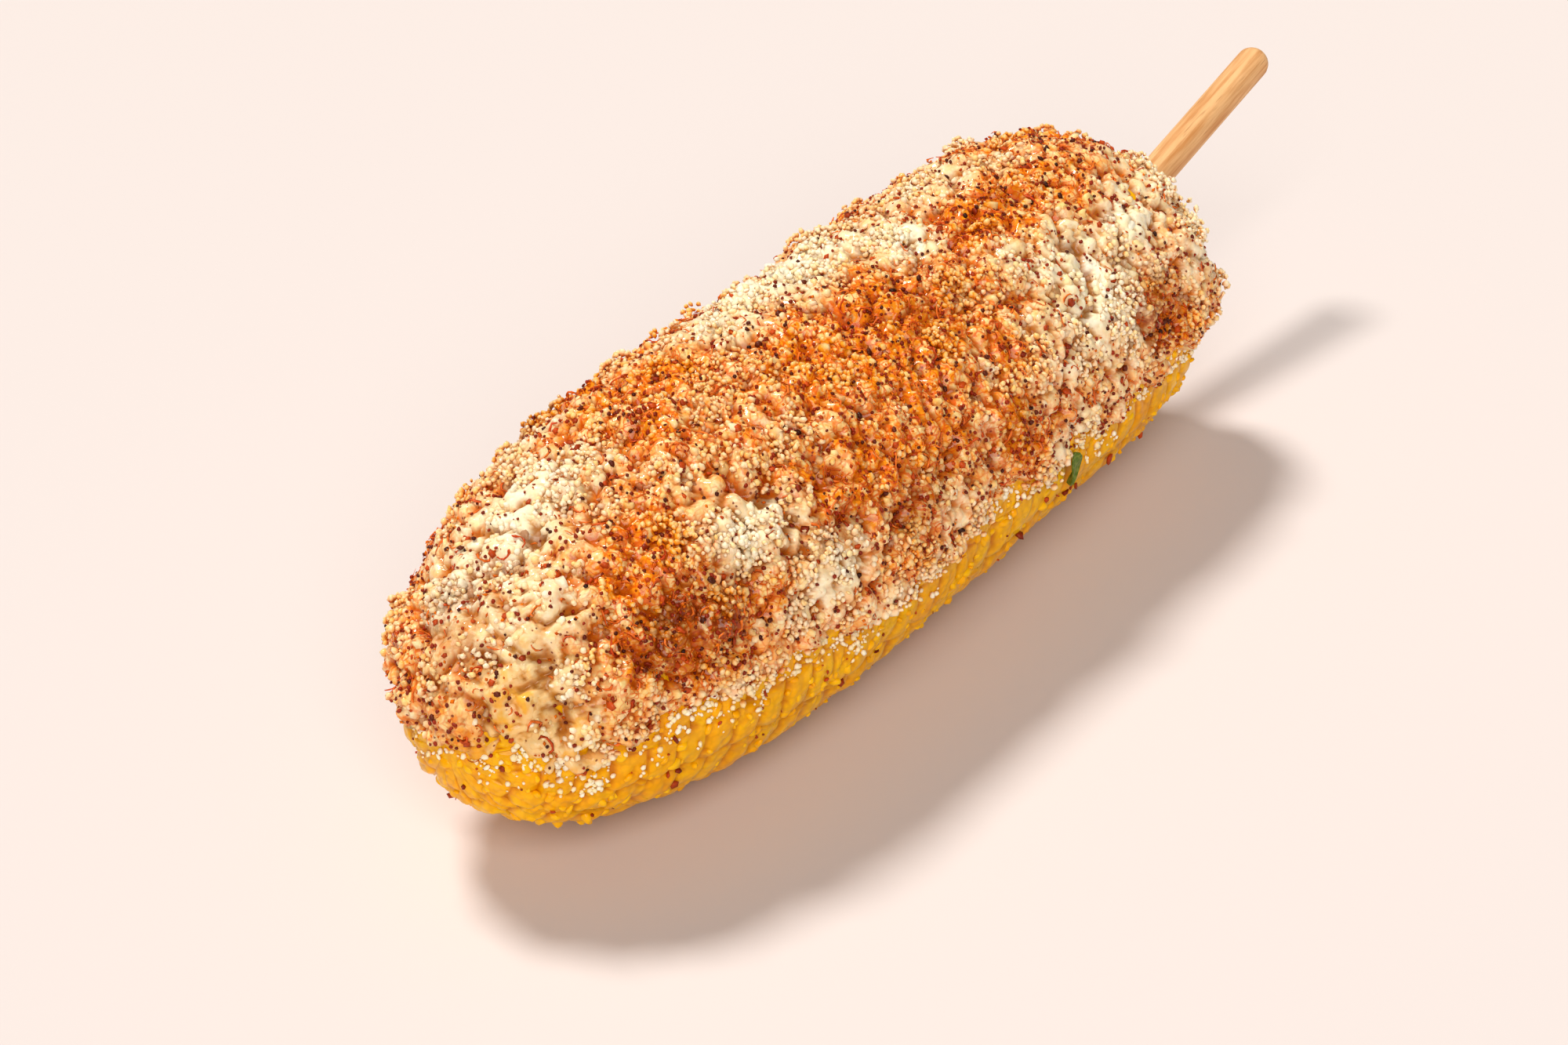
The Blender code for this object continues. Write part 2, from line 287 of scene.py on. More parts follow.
class Seed(Enum):
    """Closed shapes of a few dozen faces, from which scattered bits are made."""

    DOT = "dot"
    GRAIN = "grain"
    CRUMB = "crumb"
    SHARD = "shard"
    CURL = "curl"

    def shape(self) -> tuple[Array, Array]:
        """The shape's points, about 1 across, and its triangles with their fronts outwards.

        Returns:
            Points and triangles as arrays.
        """
        if self is Seed.DOT:
            points = np.concatenate([np.eye(3), -np.eye(3)])
            faces = 3 * np.array(list(np.ndindex(2, 2, 2))) + np.arange(3)
        elif self is Seed.SHARD:
            flat, ends = np.zeros(2), np.array([-1.0, 1.0])
            points, faces = self._tube(flat, flat, ends, np.array([1.0, 0.85]), 5)
        elif self is Seed.CURL:
            bend = np.linspace(-1.75, 1.75, 6)
            thickness = 0.17 * np.array([0.6, 1.0, 1.1, 1.0, 0.9, 0.5])
            points, faces = self._tube(np.sin(bend), np.cos(bend), 0.3 * np.sin(2.0 * bend), thickness, 3)
            return 0.5 * points, faces[:, ::-1]
        else:
            points, faces = self._icosahedron()
            if self is Seed.CRUMB:
                points, faces = self._split(points, faces)
        return 0.5 * points, self._outwards(points, faces)

    @staticmethod
    def _outwards(points: Array, faces: Array) -> Array:
        """Turns over the triangles of a convex shape round the origin that face inwards."""
        corner, second, third = (points[faces[:, i]] for i in range(3))
        fronts = np.cross(second - corner, third - corner)
        inwards = np.sum(fronts * points[faces].mean(axis=1), axis=1) < 0.0
        return np.where(inwards[:, None], faces[:, ::-1], faces)

    @staticmethod
    def _tube(x: Array, y: Array, z: Array, radius: Array, sides: int) -> tuple:
        """A closed tube of flat-ended rings round a path whose points are given by coordinate.

        A ring's point is the path's point, plus the radius times the cosine of its angle along the
        path's sideways normal, plus the radius times its sine upwards, or along Y for a straight rise.

        Args:
            x, y, z: the path's coordinates.
            radius: the tube's radius at each point of the path.
            sides: how many points a ring has.

        Returns:
            Points and triangles.
        """
        count = len(x)
        run = np.stack([np.gradient(x), np.gradient(y)], axis=1)
        level = np.linalg.norm(run, axis=1, keepdims=True)
        rises = level[:, 0].max() < 1e-9
        side = np.tile([1.0, 0.0, 0.0], (count, 1))
        up = np.tile([0.0, 1.0, 0.0] if rises else [0.0, 0.0, 1.0], (count, 1))
        if not rises:
            side = np.column_stack([run[:, 1:], -run[:, :1], np.zeros(count)]) / level
        angle = (TURN * np.arange(sides) / sides)[None, :, None]
        ring = side[:, None] * np.cos(angle) + up[:, None] * np.sin(angle)
        points = np.stack([x, y, z], axis=1)[:, None] + radius[:, None, None] * ring
        index = np.arange(count * sides).reshape(count, sides)
        beside = np.roll(index, -1, axis=1)
        low, high = index[:-1].ravel(), index[1:].ravel()
        low_next, high_next = beside[:-1].ravel(), beside[1:].ravel()
        walls = [np.stack([low, low_next, high_next], 1), np.stack([low, high_next, high], 1)]
        fan = np.arange(1, sides - 1)
        start = np.stack([np.zeros_like(fan), fan + 1, fan], 1)
        stop = np.stack([np.zeros_like(fan), fan, fan + 1], 1) + (count - 1) * sides
        return points.reshape(-1, 3), np.concatenate([*walls, start, stop])

    @staticmethod
    def _icosahedron() -> tuple[Array, Array]:
        """Twelve points in three golden rectangles, and the twenty triples that lie edge to edge."""
        golden = (1.0 + math.sqrt(5.0)) / 2.0
        signs = np.array([[-1, golden, 0], [1, golden, 0], [-1, -golden, 0], [1, -golden, 0]])
        points = np.concatenate([np.roll(signs, shift, axis=1) for shift in range(3)])
        points = points / np.linalg.norm(points[0])
        apart = np.linalg.norm(points[:, None] - points[None], axis=2)
        near = (apart > 0) & (apart < 1.06 * apart[apart > 0].min())
        a, b, c = np.array([t for t in np.ndindex(12, 12, 12) if t[0] < t[1] < t[2]]).T
        return points, np.stack([a, b, c], 1)[near[a, b] & near[b, c] & near[a, c]]

    @staticmethod
    def _split(points: Array, faces: Array) -> tuple[Array, Array]:
        """Each triangle as four, with its edges' middles pushed out to the sphere."""
        edges = np.concatenate([faces[:, [0, 1]], faces[:, [1, 2]], faces[:, [0, 2]]])
        middles, which = np.unique(edges, axis=0, return_inverse=True)
        half = points[middles].mean(axis=1)
        half /= np.linalg.norm(half, axis=1, keepdims=True)
        ab, bc, ac = which.reshape(3, -1) + len(points)
        a, b, c = faces.T
        quarters = [np.stack(t, 1) for t in ((a, ab, ac), (ab, b, bc), (ac, bc, c), (ab, bc, ac))]
        return np.concatenate([points, half]), np.concatenate(quarters)


def scattered(
    seed: Seed,
    centres: Array,
    sizes: Array,
    turns: Array,
    outwards: Array,
    roughen: float,
    rng: Random,
    values: dict[str, Array],
) -> Surface:
    """Copies a seed shape to many places as one mesh.

    Each copy is stretched by its own size, each of its points is moved in or out by a random share,
    and then it is turned and carried to its centre.

    Args:
        seed: the shape that is copied.
        centres: where the copies go.
        sizes: each copy's size along its own three axes.
        turns: each copy's rotation matrix.
        outwards: the direction away from the surface at each copy.
        roughen: the largest share by which a point moves in or out.
        rng: the source of random numbers.
        values: named arrays with one number for each copy.

    Returns:
        The surface with all copies. Its rise runs from 0 at each copy's foot to 1 at its head.
    """
    shape, faces = seed.shape()
    count = len(centres)
    ragged = 1.0 + roughen * rng.uniform(-1.0, 1.0, (count, len(shape), 1))
    local = shape[None] * ragged * sizes[:, None, :]
    turned = np.einsum("nij,nkj->nki", turns, local)
    points = turned + centres[:, None, :]
    corners = faces[None] + len(shape) * np.arange(count)[:, None, None]
    numbers = {k: np.repeat(v, len(shape)) for k, v in values.items()}
    rise = 0.5 + np.einsum("nkj,nj->nk", turned, outwards) / sizes.mean(axis=1, keepdims=True)
    numbers["rise"] = np.clip(rise, 0.0, 1.0).ravel()
    return Surface(points.reshape(-1, 3), corners.ravel(), np.full(count * len(faces), 3), numbers)


# The ear's form


@dataclass(frozen=True)
class EarForm:
    """The turned outline on which the kernels' crowns lie. Everything on the ear follows it.

    Attributes:
        tip_x: where the ear begins.
        length: how long it is.
        axis_height: the height of its axis over what it rests on.
        stations: shares of the length at which its radius is given.
        radii: the radius at each station.
        tip_share, butt_share: the shares of the length over which the tip and the butt round off.
        rounding: the exponent of the superelliptic ends.
        samples: how finely the outline is tabulated.
    """

    tip_x: float
    length: float
    axis_height: float
    stations: tuple[float, float, float] = (0.12, 0.50, 0.88)
    radii: tuple[float, float, float] = (27.1 * MM, 26.9 * MM, 25.0 * MM)
    tip_share: float = 0.44
    butt_share: float = 0.14
    rounding: float = 2.5
    samples: int = 3000

    @classmethod
    def from_frame(cls) -> "EarForm":
        """Reads the ear's place and length from its CAD box. Its axis is one half width under its top."""
        low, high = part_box("ear")
        return cls(low.x, high.x - low.x, high.z - (high.y - low.y) / 2.0)

    def outline(self) -> tuple[Array, Array, Array]:
        """The outline as arrays of arc, x and radius.

        The radius is a parabola through the stations times a superelliptic rounding at each end.

        Returns:
            Arc lengths from the tip, and x and radius there.
        """
        share = 0.5 - 0.5 * np.cos(np.linspace(0.0, math.pi, self.samples))
        body = np.polyval(np.polyfit(self.stations, self.radii, 2), share)
        to_tip = 1.0 - np.clip(share / self.tip_share, 0.0, 1.0)
        to_butt = 1.0 - np.clip((1.0 - share) / self.butt_share, 0.0, 1.0)
        ends = (1.0 - to_tip**self.rounding) * (1.0 - to_butt**self.rounding)
        radius = body * ends ** (1.0 / self.rounding)
        x = self.tip_x + share * self.length
        arc = np.concatenate([[0.0], np.cumsum(np.hypot(np.diff(x), np.diff(radius)))])
        return arc, x, radius

    def arc_length(self) -> float:
        """The outline's whole length."""
        return float(self.outline()[0][-1])

    def arc_where_butt_radius(self, radius: float) -> float:
        """The arc at which the butt has narrowed to a radius."""
        arc, x, radii = self.outline()
        butt = x > self.tip_x + 0.7 * self.length
        return float(np.interp(-radius, -radii[butt], arc[butt]))

    def at(self, arc: Array) -> tuple[Array, Array]:
        """The outline's x and radius at each arc."""
        arcs, x, radius = self.outline()
        return np.interp(arc, arcs, x), np.interp(arc, arcs, radius)

    def share_at(self, arc: Array) -> Array:
        """The share of the length at each arc, 0 at the tip and 1 at the butt."""
        return (self.at(arc)[0] - self.tip_x) / self.length

    def radius_at(self, arc: Array) -> Array:
        """The outline's radius at each arc."""
        return self.at(arc)[1]

    def normal(self, arc: Array, angle: Array) -> Array:
        """The outward direction at each place: the outline's tangent turned a quarter outwards."""
        arcs, x, radius = self.outline()
        slope = np.arctan2(np.gradient(radius), np.gradient(x))
        turned = np.interp(arc, arcs, slope)
        outwards = np.cos(turned)
        return np.stack([-np.sin(turned), outwards * np.cos(angle), outwards * np.sin(angle)], axis=-1)

    def place(self, arc: Array, angle: Array, height: Array | float = 0.0) -> Array:
        """Points at a height over the outline, measured along its outward direction.

        Args:
            arc, angle: the places, in metres from the tip and in radians.
            height: distance from the outline.

        Returns:
            Rows of x, y, z, in the shape of arc and angle.
        """
        x, r = self.at(arc)
        on = np.stack([x, r * np.cos(angle), self.axis_height + r * np.sin(angle)], axis=-1)
        return on + self.normal(arc, angle) * np.asarray(height)[..., None]


@dataclass(frozen=True)
class Rows:
    """The kernels' rows and how each kernel domes.

    Attributes:
        form: the outline on which the crowns lie.
        count: how many rows the ear has.
        per_row: how many kernels a row has.
        twist: how far the rows turn from tip to butt, in radians.
        power: how square a kernel is.
    """

    form: EarForm
    count: int = 18
    per_row: int = 38
    twist: float = math.radians(4)
    power: float = 2.6

    def own(self, arc: Array, angle: Array) -> tuple[Array, Array, Array]:
        """A place's position in its kernel.

        Args:
            arc, angle: the places, in metres from the tip and in radians.

        Returns:
            Position across the kernel and along it, each from -1 to 1, and a random number for each
            kernel.
        """
        share = arc / self.form.arc_length()
        across = (angle - self.twist * (share - 0.5)) * self.count / TURN
        across = across + 0.09 * np.sin(TURN * 2.3 * share + 1.7 * np.round(across))
        row = np.round(across)
        along = share * self.per_row + 0.5 * np.mod(row, 2.0) + 0.12 * np.sin(3.1 * row)
        kernel = np.round(along)
        mixed = np.sin(12.9898 * np.mod(row, self.count) + 78.233 * kernel) * 43758.5453
        return 2.0 * (across - row), 2.0 * (along - kernel), mixed - np.floor(mixed)

    def dome(self, arc: Array, angle: Array) -> tuple[Array, Array]:
        """How high a kernel stands: 1 on its crown and 0 in the furrow round it.

        It is (1 - |a|^p)^(1/p) times (1 - |b|^p)^(1/p), with a across the kernel, b along it and p
        the power, less a shallow dimple in its middle.

        Args:
            arc, angle: the places, in metres from the tip and in radians.

        Returns:
            The height as a share, and the kernel's random number.
        """
        across, along, chance = self.own(arc, angle)
        left = (np.clip(1.0 - np.abs(part) ** self.power, 0.0, 1.0) for part in (across, along))
        side, end = (part ** (1.0 / self.power) for part in left)
        dimple = 0.10 * chance * np.exp(-5.0 * (across**2 + along**2))
        return side * end - dimple, chance


# Where the chili lies


@dataclass(frozen=True)
class Patch:
    """A soft-edged oval patch on the ear.

    Attributes:
        share, angle: its middle, as a share of the ear's length from the tip, and in degrees.
        length, width: half its size, as a share of the ear's length, and in degrees.
        strength: how strong it is at its middle.
    """

    share: float
    angle: float
    length: float
    width: float
    strength: float

    def at(self, share: Array, degrees: Array) -> Array:
        """Its strength at each place: strength times exp(-(d^2)^1.5), d measured in half sizes."""
        d2 = ((share - self.share) / self.length) ** 2 + ((degrees - self.angle) / self.width) ** 2
        return self.strength * np.exp(-(d2**1.5))


def patches(*rows: tuple[float, ...]) -> tuple[Patch, ...]:
    """Patches from rows of share, angle, length, width and strength."""
    return tuple(Patch(*row) for row in rows)


@dataclass(frozen=True)
class ChiliCloud:
    """How thickly the chili lies over the coat: a dusting with stronger and bare patches.

    Attributes:
        form: the ear's form.
        noise: the noise that breaks the patches up.
        dusting: how much lies everywhere.
        dusted, bare, scorched: patches with more orange powder, white ones and those of dark flakes.
    """

    form: EarForm
    noise: Noise = Noise(41)
    dusting: float = 0.49
    dusted: tuple[Patch, ...] = patches(
        (0.48, 112.0, 0.140, 22.0, 0.55), (0.76, 101.0, 0.080, 14.0, 0.60),
        (0.31, 78.0, 0.065, 13.0, 0.50), (0.40, 138.0, 0.080, 13.0, 0.35),
        (0.15, 126.0, 0.050, 13.0, 0.35), (0.155, 150.0, 0.050, 14.0, 0.60),
        (0.82, 159.0, 0.040, 13.0, 0.60), (0.57, 161.0, 0.035, 9.0, 0.45),
        (0.47, 146.0, 0.040, 9.0, 0.30), (0.27, 92.0, 0.040, 9.0, 0.30),
        (0.89, 78.0, 0.040, 16.0, 0.35), (0.40, 40.0, 0.130, 16.0, 0.45),
        (0.68, 34.0, 0.090, 15.0, 0.40), (0.18, 24.0, 0.060, 13.0, 0.45),
    )
    bare: tuple[Patch, ...] = patches(
        (0.13, 82.0, 0.105, 20.0, 0.80), (0.07, 112.0, 0.050, 26.0, 0.75),
        (0.03, 160.0, 0.050, 40.0, 0.75), (0.52, 72.0, 0.140, 17.0, 0.95),
        (0.63, 90.0, 0.055, 11.0, 0.95), (0.78, 74.0, 0.090, 14.0, 0.65),
        (0.75, 142.0, 0.080, 30.0, 0.95), (0.70, 121.0, 0.045, 12.0, 0.80),
        (0.85, 130.0, 0.045, 11.0, 0.90), (0.95, 140.0, 0.060, 42.0, 0.75),
        (0.25, 137.0, 0.055, 11.0, 0.75), (0.30, 161.0, 0.060, 8.0, 0.65),
        (0.66, 178.0, 0.050, 11.0, 0.70), (0.18, 181.0, 0.050, 10.0, 0.60),
        (0.50, 182.0, 0.040, 9.0, 0.45), (0.36, 182.0, 0.040, 9.0, 0.45),
        (0.30, 16.0, 0.090, 16.0, 0.85), (0.57, 20.0, 0.080, 20.0, 0.85),
        (0.86, 46.0, 0.060, 18.0, 0.75), (0.82, 6.0, 0.060, 14.0, 0.75),
        (0.24, 52.0, 0.050, 10.0, 0.60),
    )
    scorched: tuple[Patch, ...] = patches(
        (0.155, 150.0, 0.050, 14.0, 1.00), (0.825, 159.0, 0.040, 14.0, 0.85),
        (0.570, 161.0, 0.035, 9.0, 0.60), (0.430, 160.0, 0.050, 9.0, 0.50),
        (0.560, 116.0, 0.050, 8.0, 0.45), (0.330, 150.0, 0.030, 7.0, 0.45),
        (0.770, 99.0, 0.040, 6.0, 0.45), (0.045, 78.0, 0.030, 22.0, 0.45),
        (0.300, 34.0, 0.060, 12.0, 0.60), (0.750, 20.0, 0.050, 12.0, 0.60),
    )

    def _strongest(self, patches: tuple[Patch, ...], arc: Array, angle: Array) -> Array:
        """The strongest of the patches at each place."""
        share = self.form.share_at(arc)
        degrees = np.mod(np.degrees(angle) + 90.0, 360.0) - 90.0
        return np.max([patch.at(share, degrees) for patch in patches], axis=0)

    def dust(self, arc: Array, angle: Array) -> Array:
        """How strongly powder colours each place, from 0 to 1.

        It is the dusting plus the strongest dusted patch, times what the strongest bare patch
        leaves, times 1 plus noise of 6 mm.

        Args:
            arc, angle: the places, in metres from the tip and in radians.

        Returns:
            One number for each place.
        """
        cloud = self.noise.layered(self.form.place(arc, angle), 6 * MM, 3)
        laid = self.dusting + self._strongest(self.dusted, arc, angle)
        wiped = self._strongest(self.bare, arc, angle) - 0.5 * cloud * (1.0 - laid)
        return np.clip(laid * (1.0 - np.clip(wiped, 0.0, 1.0)) * (1.0 + 0.7 * cloud), 0.02, 1.0)

    def scorch(self, arc: Array, angle: Array) -> Array:
        """How thickly dark flakes lie at each place, from 0 to 1."""
        points = self.form.place(arc, angle)
        broken = 0.8 + 0.6 * self.noise.layered(points + 3.0, 5 * MM, 2)
        return np.clip(self._strongest(self.scorched, arc, angle) * broken, 0.0, 1.0)


# Shader graphs


class Graph:
    """Makes and joins the nodes of one tree."""

    def __init__(self, tree: Tree) -> None:
        """Takes the tree that the nodes go in."""
        self.tree = tree

    def feed(self, given: Given, end: Socket) -> None:
        """Links a given output to an input, or sets a given value on it."""
        if isinstance(given, Socket):
            self.tree.links.new(given, end)
        else:
            end.default_value = given

    def add(self, kind: str, values: dict | None = None, **settings) -> Node:
        """Adds a node.

        Args:
            kind: the node's type name without its ShaderNode prefix, or a whole type name.
            values: sockets or values for its inputs, by name or number.
            **settings: the node's own properties.

        Returns:
            The new node.
        """
        node = self.tree.nodes.new(kind if kind.startswith("Node") else "ShaderNode" + kind)
        for key, value in settings.items():
            setattr(node, key, value)
        for key, value in (values or {}).items():
            self.feed(value, node.inputs[key])
        return node

    def attribute(self, name: str) -> Socket:
        """The number that a mesh carries under a name."""
        return self.add("Attribute", attribute_name=name).outputs["Fac"]

    def spot(self) -> Socket:
        """The place on the piece, in Object coordinates."""
        return self.add("TexCoord").outputs["Object"]

    def maths(self, operation: str, first: Given, second: Given, clamp: bool = False) -> Socket:
        """One sum on two sockets or numbers, held between 0 and 1 if clamp is set."""
        given = {0: first, 1: second}
        return self.add("Math", given, operation=operation, use_clamp=clamp).outputs[0]

    def times(self, first: Given, second: Given, clamp: bool = False) -> Socket:
        """The product of two sockets or numbers."""
        return self.maths("MULTIPLY", first, second, clamp)

    def plus(self, first: Given, second: Given, clamp: bool = False) -> Socket:
        """The sum of two sockets or numbers."""
        return self.maths("ADD", first, second, clamp)

    def blend(self, share: Given, first: Given, second: Given) -> Socket:
        """Mixes two colours: a share of 0 is all first, and 1 all second."""
        return self.add("Mix", {0: share, 6: first, 7: second}, data_type="RGBA").outputs[2]

    def lay(self, colour: Socket, paint: Given, mask: Socket, strength: float) -> Socket:
        """Lays a paint over a colour where a mask is, at a strength from 0 to 1."""
        return self.blend(self.times(mask, strength), colour, paint)

    def ramp(self, source: Socket, low: float, high: float) -> Socket:
        """Stretches a number so that low becomes 0 and high becomes 1, smoothly."""
        values = {"Value": source, "From Min": low, "From Max": high}
        return self.add("MapRange", values, interpolation_type="SMOOTHSTEP").outputs["Result"]

    def use(self, group: Tree, **given) -> Outputs:
        """Places a node group, its inputs given by name, and gives its outputs."""
        return self.add("Group", given, node_tree=group).outputs

    def mottled(self, group: Tree, size: float, contrast: float) -> Socket:
        """The cloudy mask of the mottle group."""
        return self.use(group, Size=size, Contrast=contrast)["Mask"]


class Effects:
    """Node groups that several finishes share, each built once."""

    def __init__(self) -> None:
        """Builds the groups."""
        self.mottle = self._mottle()
        self.granules = self._granules()
        self.specks = self._specks()
        self.network = self._network()

    @staticmethod
    def _group(name: str, inputs: dict[str, float], outputs: tuple[str, ...]) -> tuple:
        """A new group with number sockets, one of them its pattern's Size.

        Args:
            name: the group's name.
            inputs: each input's name and default.
            outputs: the outputs' names.

        Returns:
            The group, its graph, what it is given, what it puts out, and 1 / Size.
        """
        tree = bpy.data.node_groups.new(name, "ShaderNodeTree")
        for key, value in inputs.items():
            socket = tree.interface.new_socket(key, in_out="INPUT", socket_type="NodeSocketFloat")
            socket.default_value = value
        for key in outputs:
            tree.interface.new_socket(key, in_out="OUTPUT", socket_type="NodeSocketFloat")
        graph = Graph(tree)
        given, out = graph.add("NodeGroupInput").outputs, graph.add("NodeGroupOutput").inputs
        return tree, graph, given, out, graph.maths("DIVIDE", 1.0, given["Size"])

    def _mottle(self) -> Tree:
        """Cloudy variation: two noises, a large one and one four times finer, averaged."""
        tree, graph, given, out, scale = self._group("mottle", {"Size": 0.006, "Contrast": 1.0}, ("Mask",))
        noises = []
        for factor in (1.0, 4.0):
            values = {"Vector": graph.spot(), "Scale": graph.times(scale, factor), "Detail": 2.0}
            noises.append(graph.add("TexNoise", values).outputs[0])
        both = graph.plus(noises[0], graph.times(noises[1], 0.6))
        spread = graph.times(graph.maths("SUBTRACT", both, 0.8), graph.times(given["Contrast"], 1.6))
        graph.feed(graph.plus(spread, 0.5, clamp=True), out["Mask"])
        return tree

    def _granules(self) -> Tree:
        """Packed granules: rounded cells for relief, and the creases between them as a mask."""
        tree, graph, given, out, scale = self._group("granules", {"Size": 0.0012}, ("Height", "Crease"))
        distance = graph.add("TexVoronoi", {"Vector": graph.spot(), "Scale": scale}).outputs["Distance"]
        graph.feed(graph.maths("SUBTRACT", 1.0, graph.maths("POWER", distance, 2.0)), out["Height"])
        graph.feed(graph.ramp(distance, 0.35, 0.75), out["Crease"])
        return tree

    def _network(self) -> Tree:
        """Thin wandering lines: the borders of cells whose places a noise has bent."""
        tree, graph, given, out, scale = self._group("network", {"Size": 0.0016, "Width": 0.08}, ("Mask",))
        bend = graph.add("TexNoise", {"Vector": graph.spot(), "Scale": graph.times(scale, 0.8), "Detail": 1.0})
        by = {0: bend.outputs["Color"], "Scale": graph.times(given["Size"], 1.3)}
        shift = graph.add("VectorMath", by, operation="SCALE").outputs[0]
        moved = graph.add("VectorMath", {0: graph.spot(), 1: shift}, operation="ADD").outputs[0]
        cells = graph.add("TexVoronoi", {"Vector": moved, "Scale": scale}, feature="DISTANCE_TO_EDGE")
        line = graph.maths("DIVIDE", cells.outputs["Distance"], given["Width"])
        graph.feed(graph.maths("SUBTRACT", 1.3, line, clamp=True), out["Mask"])
        return tree

    def _specks(self) -> Tree:
        """Small round specks on a share of the cells, more where Amount is higher."""
        tree, graph, given, out, scale = self._group("specks", {"Size": 0.001, "Amount": 0.5}, ("Mask",))
        cells = graph.add("TexVoronoi", {"Vector": graph.spot(), "Scale": scale}).outputs
        chance = graph.add("SeparateColor", {0: cells["Color"]}).outputs[0]
        chosen = graph.maths("LESS_THAN", chance, given["Amount"])
        graph.feed(graph.times(chosen, graph.ramp(cells["Distance"], 0.34, 0.22)), out["Mask"])
        return tree


@dataclass(frozen=True)
class Finish:
    """What every finish has: a name and how its Principled shader is set.

    Attributes:
        name: the material's name.
        roughness, subsurface, shine: the shader's roughness, scattering and specular level.
        depth: how far light scatters under the surface.
        relief: how far the fine bump stands.
        wet: how strong the clear film over it is.
        spread: how far red, green and blue light scatter, as shares of the depth.
        film: the clear film's roughness.
    """

    name: str
    roughness: float = 0.5
    subsurface: float = 0.0
    depth: float = 1.0 * MM
    relief: float = 0.2 * MM
    wet: float = 0.0
    shine: float = 0.2
    spread: tuple[float, float, float] = (1.0, 0.7, 0.4)
    film: float = 0.06

    def paint(self, graph: Graph, effects: Effects) -> Painted:
        """What feeds the shader's inputs, and the fine bump's height and strength."""
        raise NotImplementedError

    def build(self, effects: Effects) -> Material:
        """Makes the material, with its constants set on the shader itself.

        Args:
            effects: the shared node groups.

        Returns:
            The material.
        """
        material = bpy.data.materials.new(self.name)
        material.use_nodes = True
        graph = Graph(material.node_tree)
        shader = material.node_tree.nodes["Principled BSDF"].inputs
        scatter = {"Weight": self.subsurface, "Scale": self.depth, "Radius": self.spread}
        settings = {"Subsurface " + key: value for key, value in scatter.items()}
        settings |= {"Roughness": self.roughness, "Specular IOR Level": self.shine}
        settings |= {"Coat Weight": self.wet, "Coat Roughness": self.film}
        painted, height, strength = self.paint(graph, effects)
        for key, value in (settings | painted).items():
            graph.feed(value, shader[key])
        if height is not None:
            bump = graph.add("Bump", {"Height": height, "Strength": strength, "Distance": self.relief})
            graph.feed(bump.outputs[0], shader["Normal"])
        return material


@dataclass(frozen=True)
class KernelFinish(Finish):
    """Moist golden kernels, each a little different, with painted amber shade in their furrows, creases and
    the cob's groove, and the pale cob.
    """

    light: tuple = linear(254, 197, 8)
    deep: tuple = linear(248, 162, 0)
    # furrow_shade: painted shade for the furrows, creases and the cob's groove.
    furrow_shade: tuple = linear(196, 92, 0)
    crack: tuple = linear(160, 72, 0)
    pith: tuple = linear(240, 216, 160)
    pith_hole: tuple = linear(220, 182, 112)

    def paint(self, graph: Graph, effects: Effects) -> Painted:
        """Each kernel's tone and clouds, then painted shade in the furrows and the cob's groove, cracks and
        the cob's pith.
        """
        clouds = graph.mottled(effects.mottle, 5 * MM, 1.2)
        share = graph.plus(graph.times(graph.attribute("tone"), 0.4), graph.times(clouds, 0.5), clamp=True)
        colour = graph.blend(share, self.light, self.deep)
        # Painted shade: the furrows, the creases and the cob's groove darkened to amber.
        colour = graph.lay(colour, self.furrow_shade, graph.attribute("fold_shade"), 0.75)
        fine = graph.use(effects.granules, Size=1.1 * MM)
        colour = graph.lay(colour, self.crack, fine["Crease"], 0.2)
        rings = graph.use(effects.granules, Size=1.6 * MM)
        pith = graph.blend(rings["Crease"], self.pith, self.pith_hole)
        colour = graph.blend(graph.attribute("cob"), colour, pith)
        rough = graph.plus(graph.times(clouds, 0.25), self.roughness - 0.1)
        return {"Base Color": colour, "Roughness": rough}, fine["Height"], 0.12


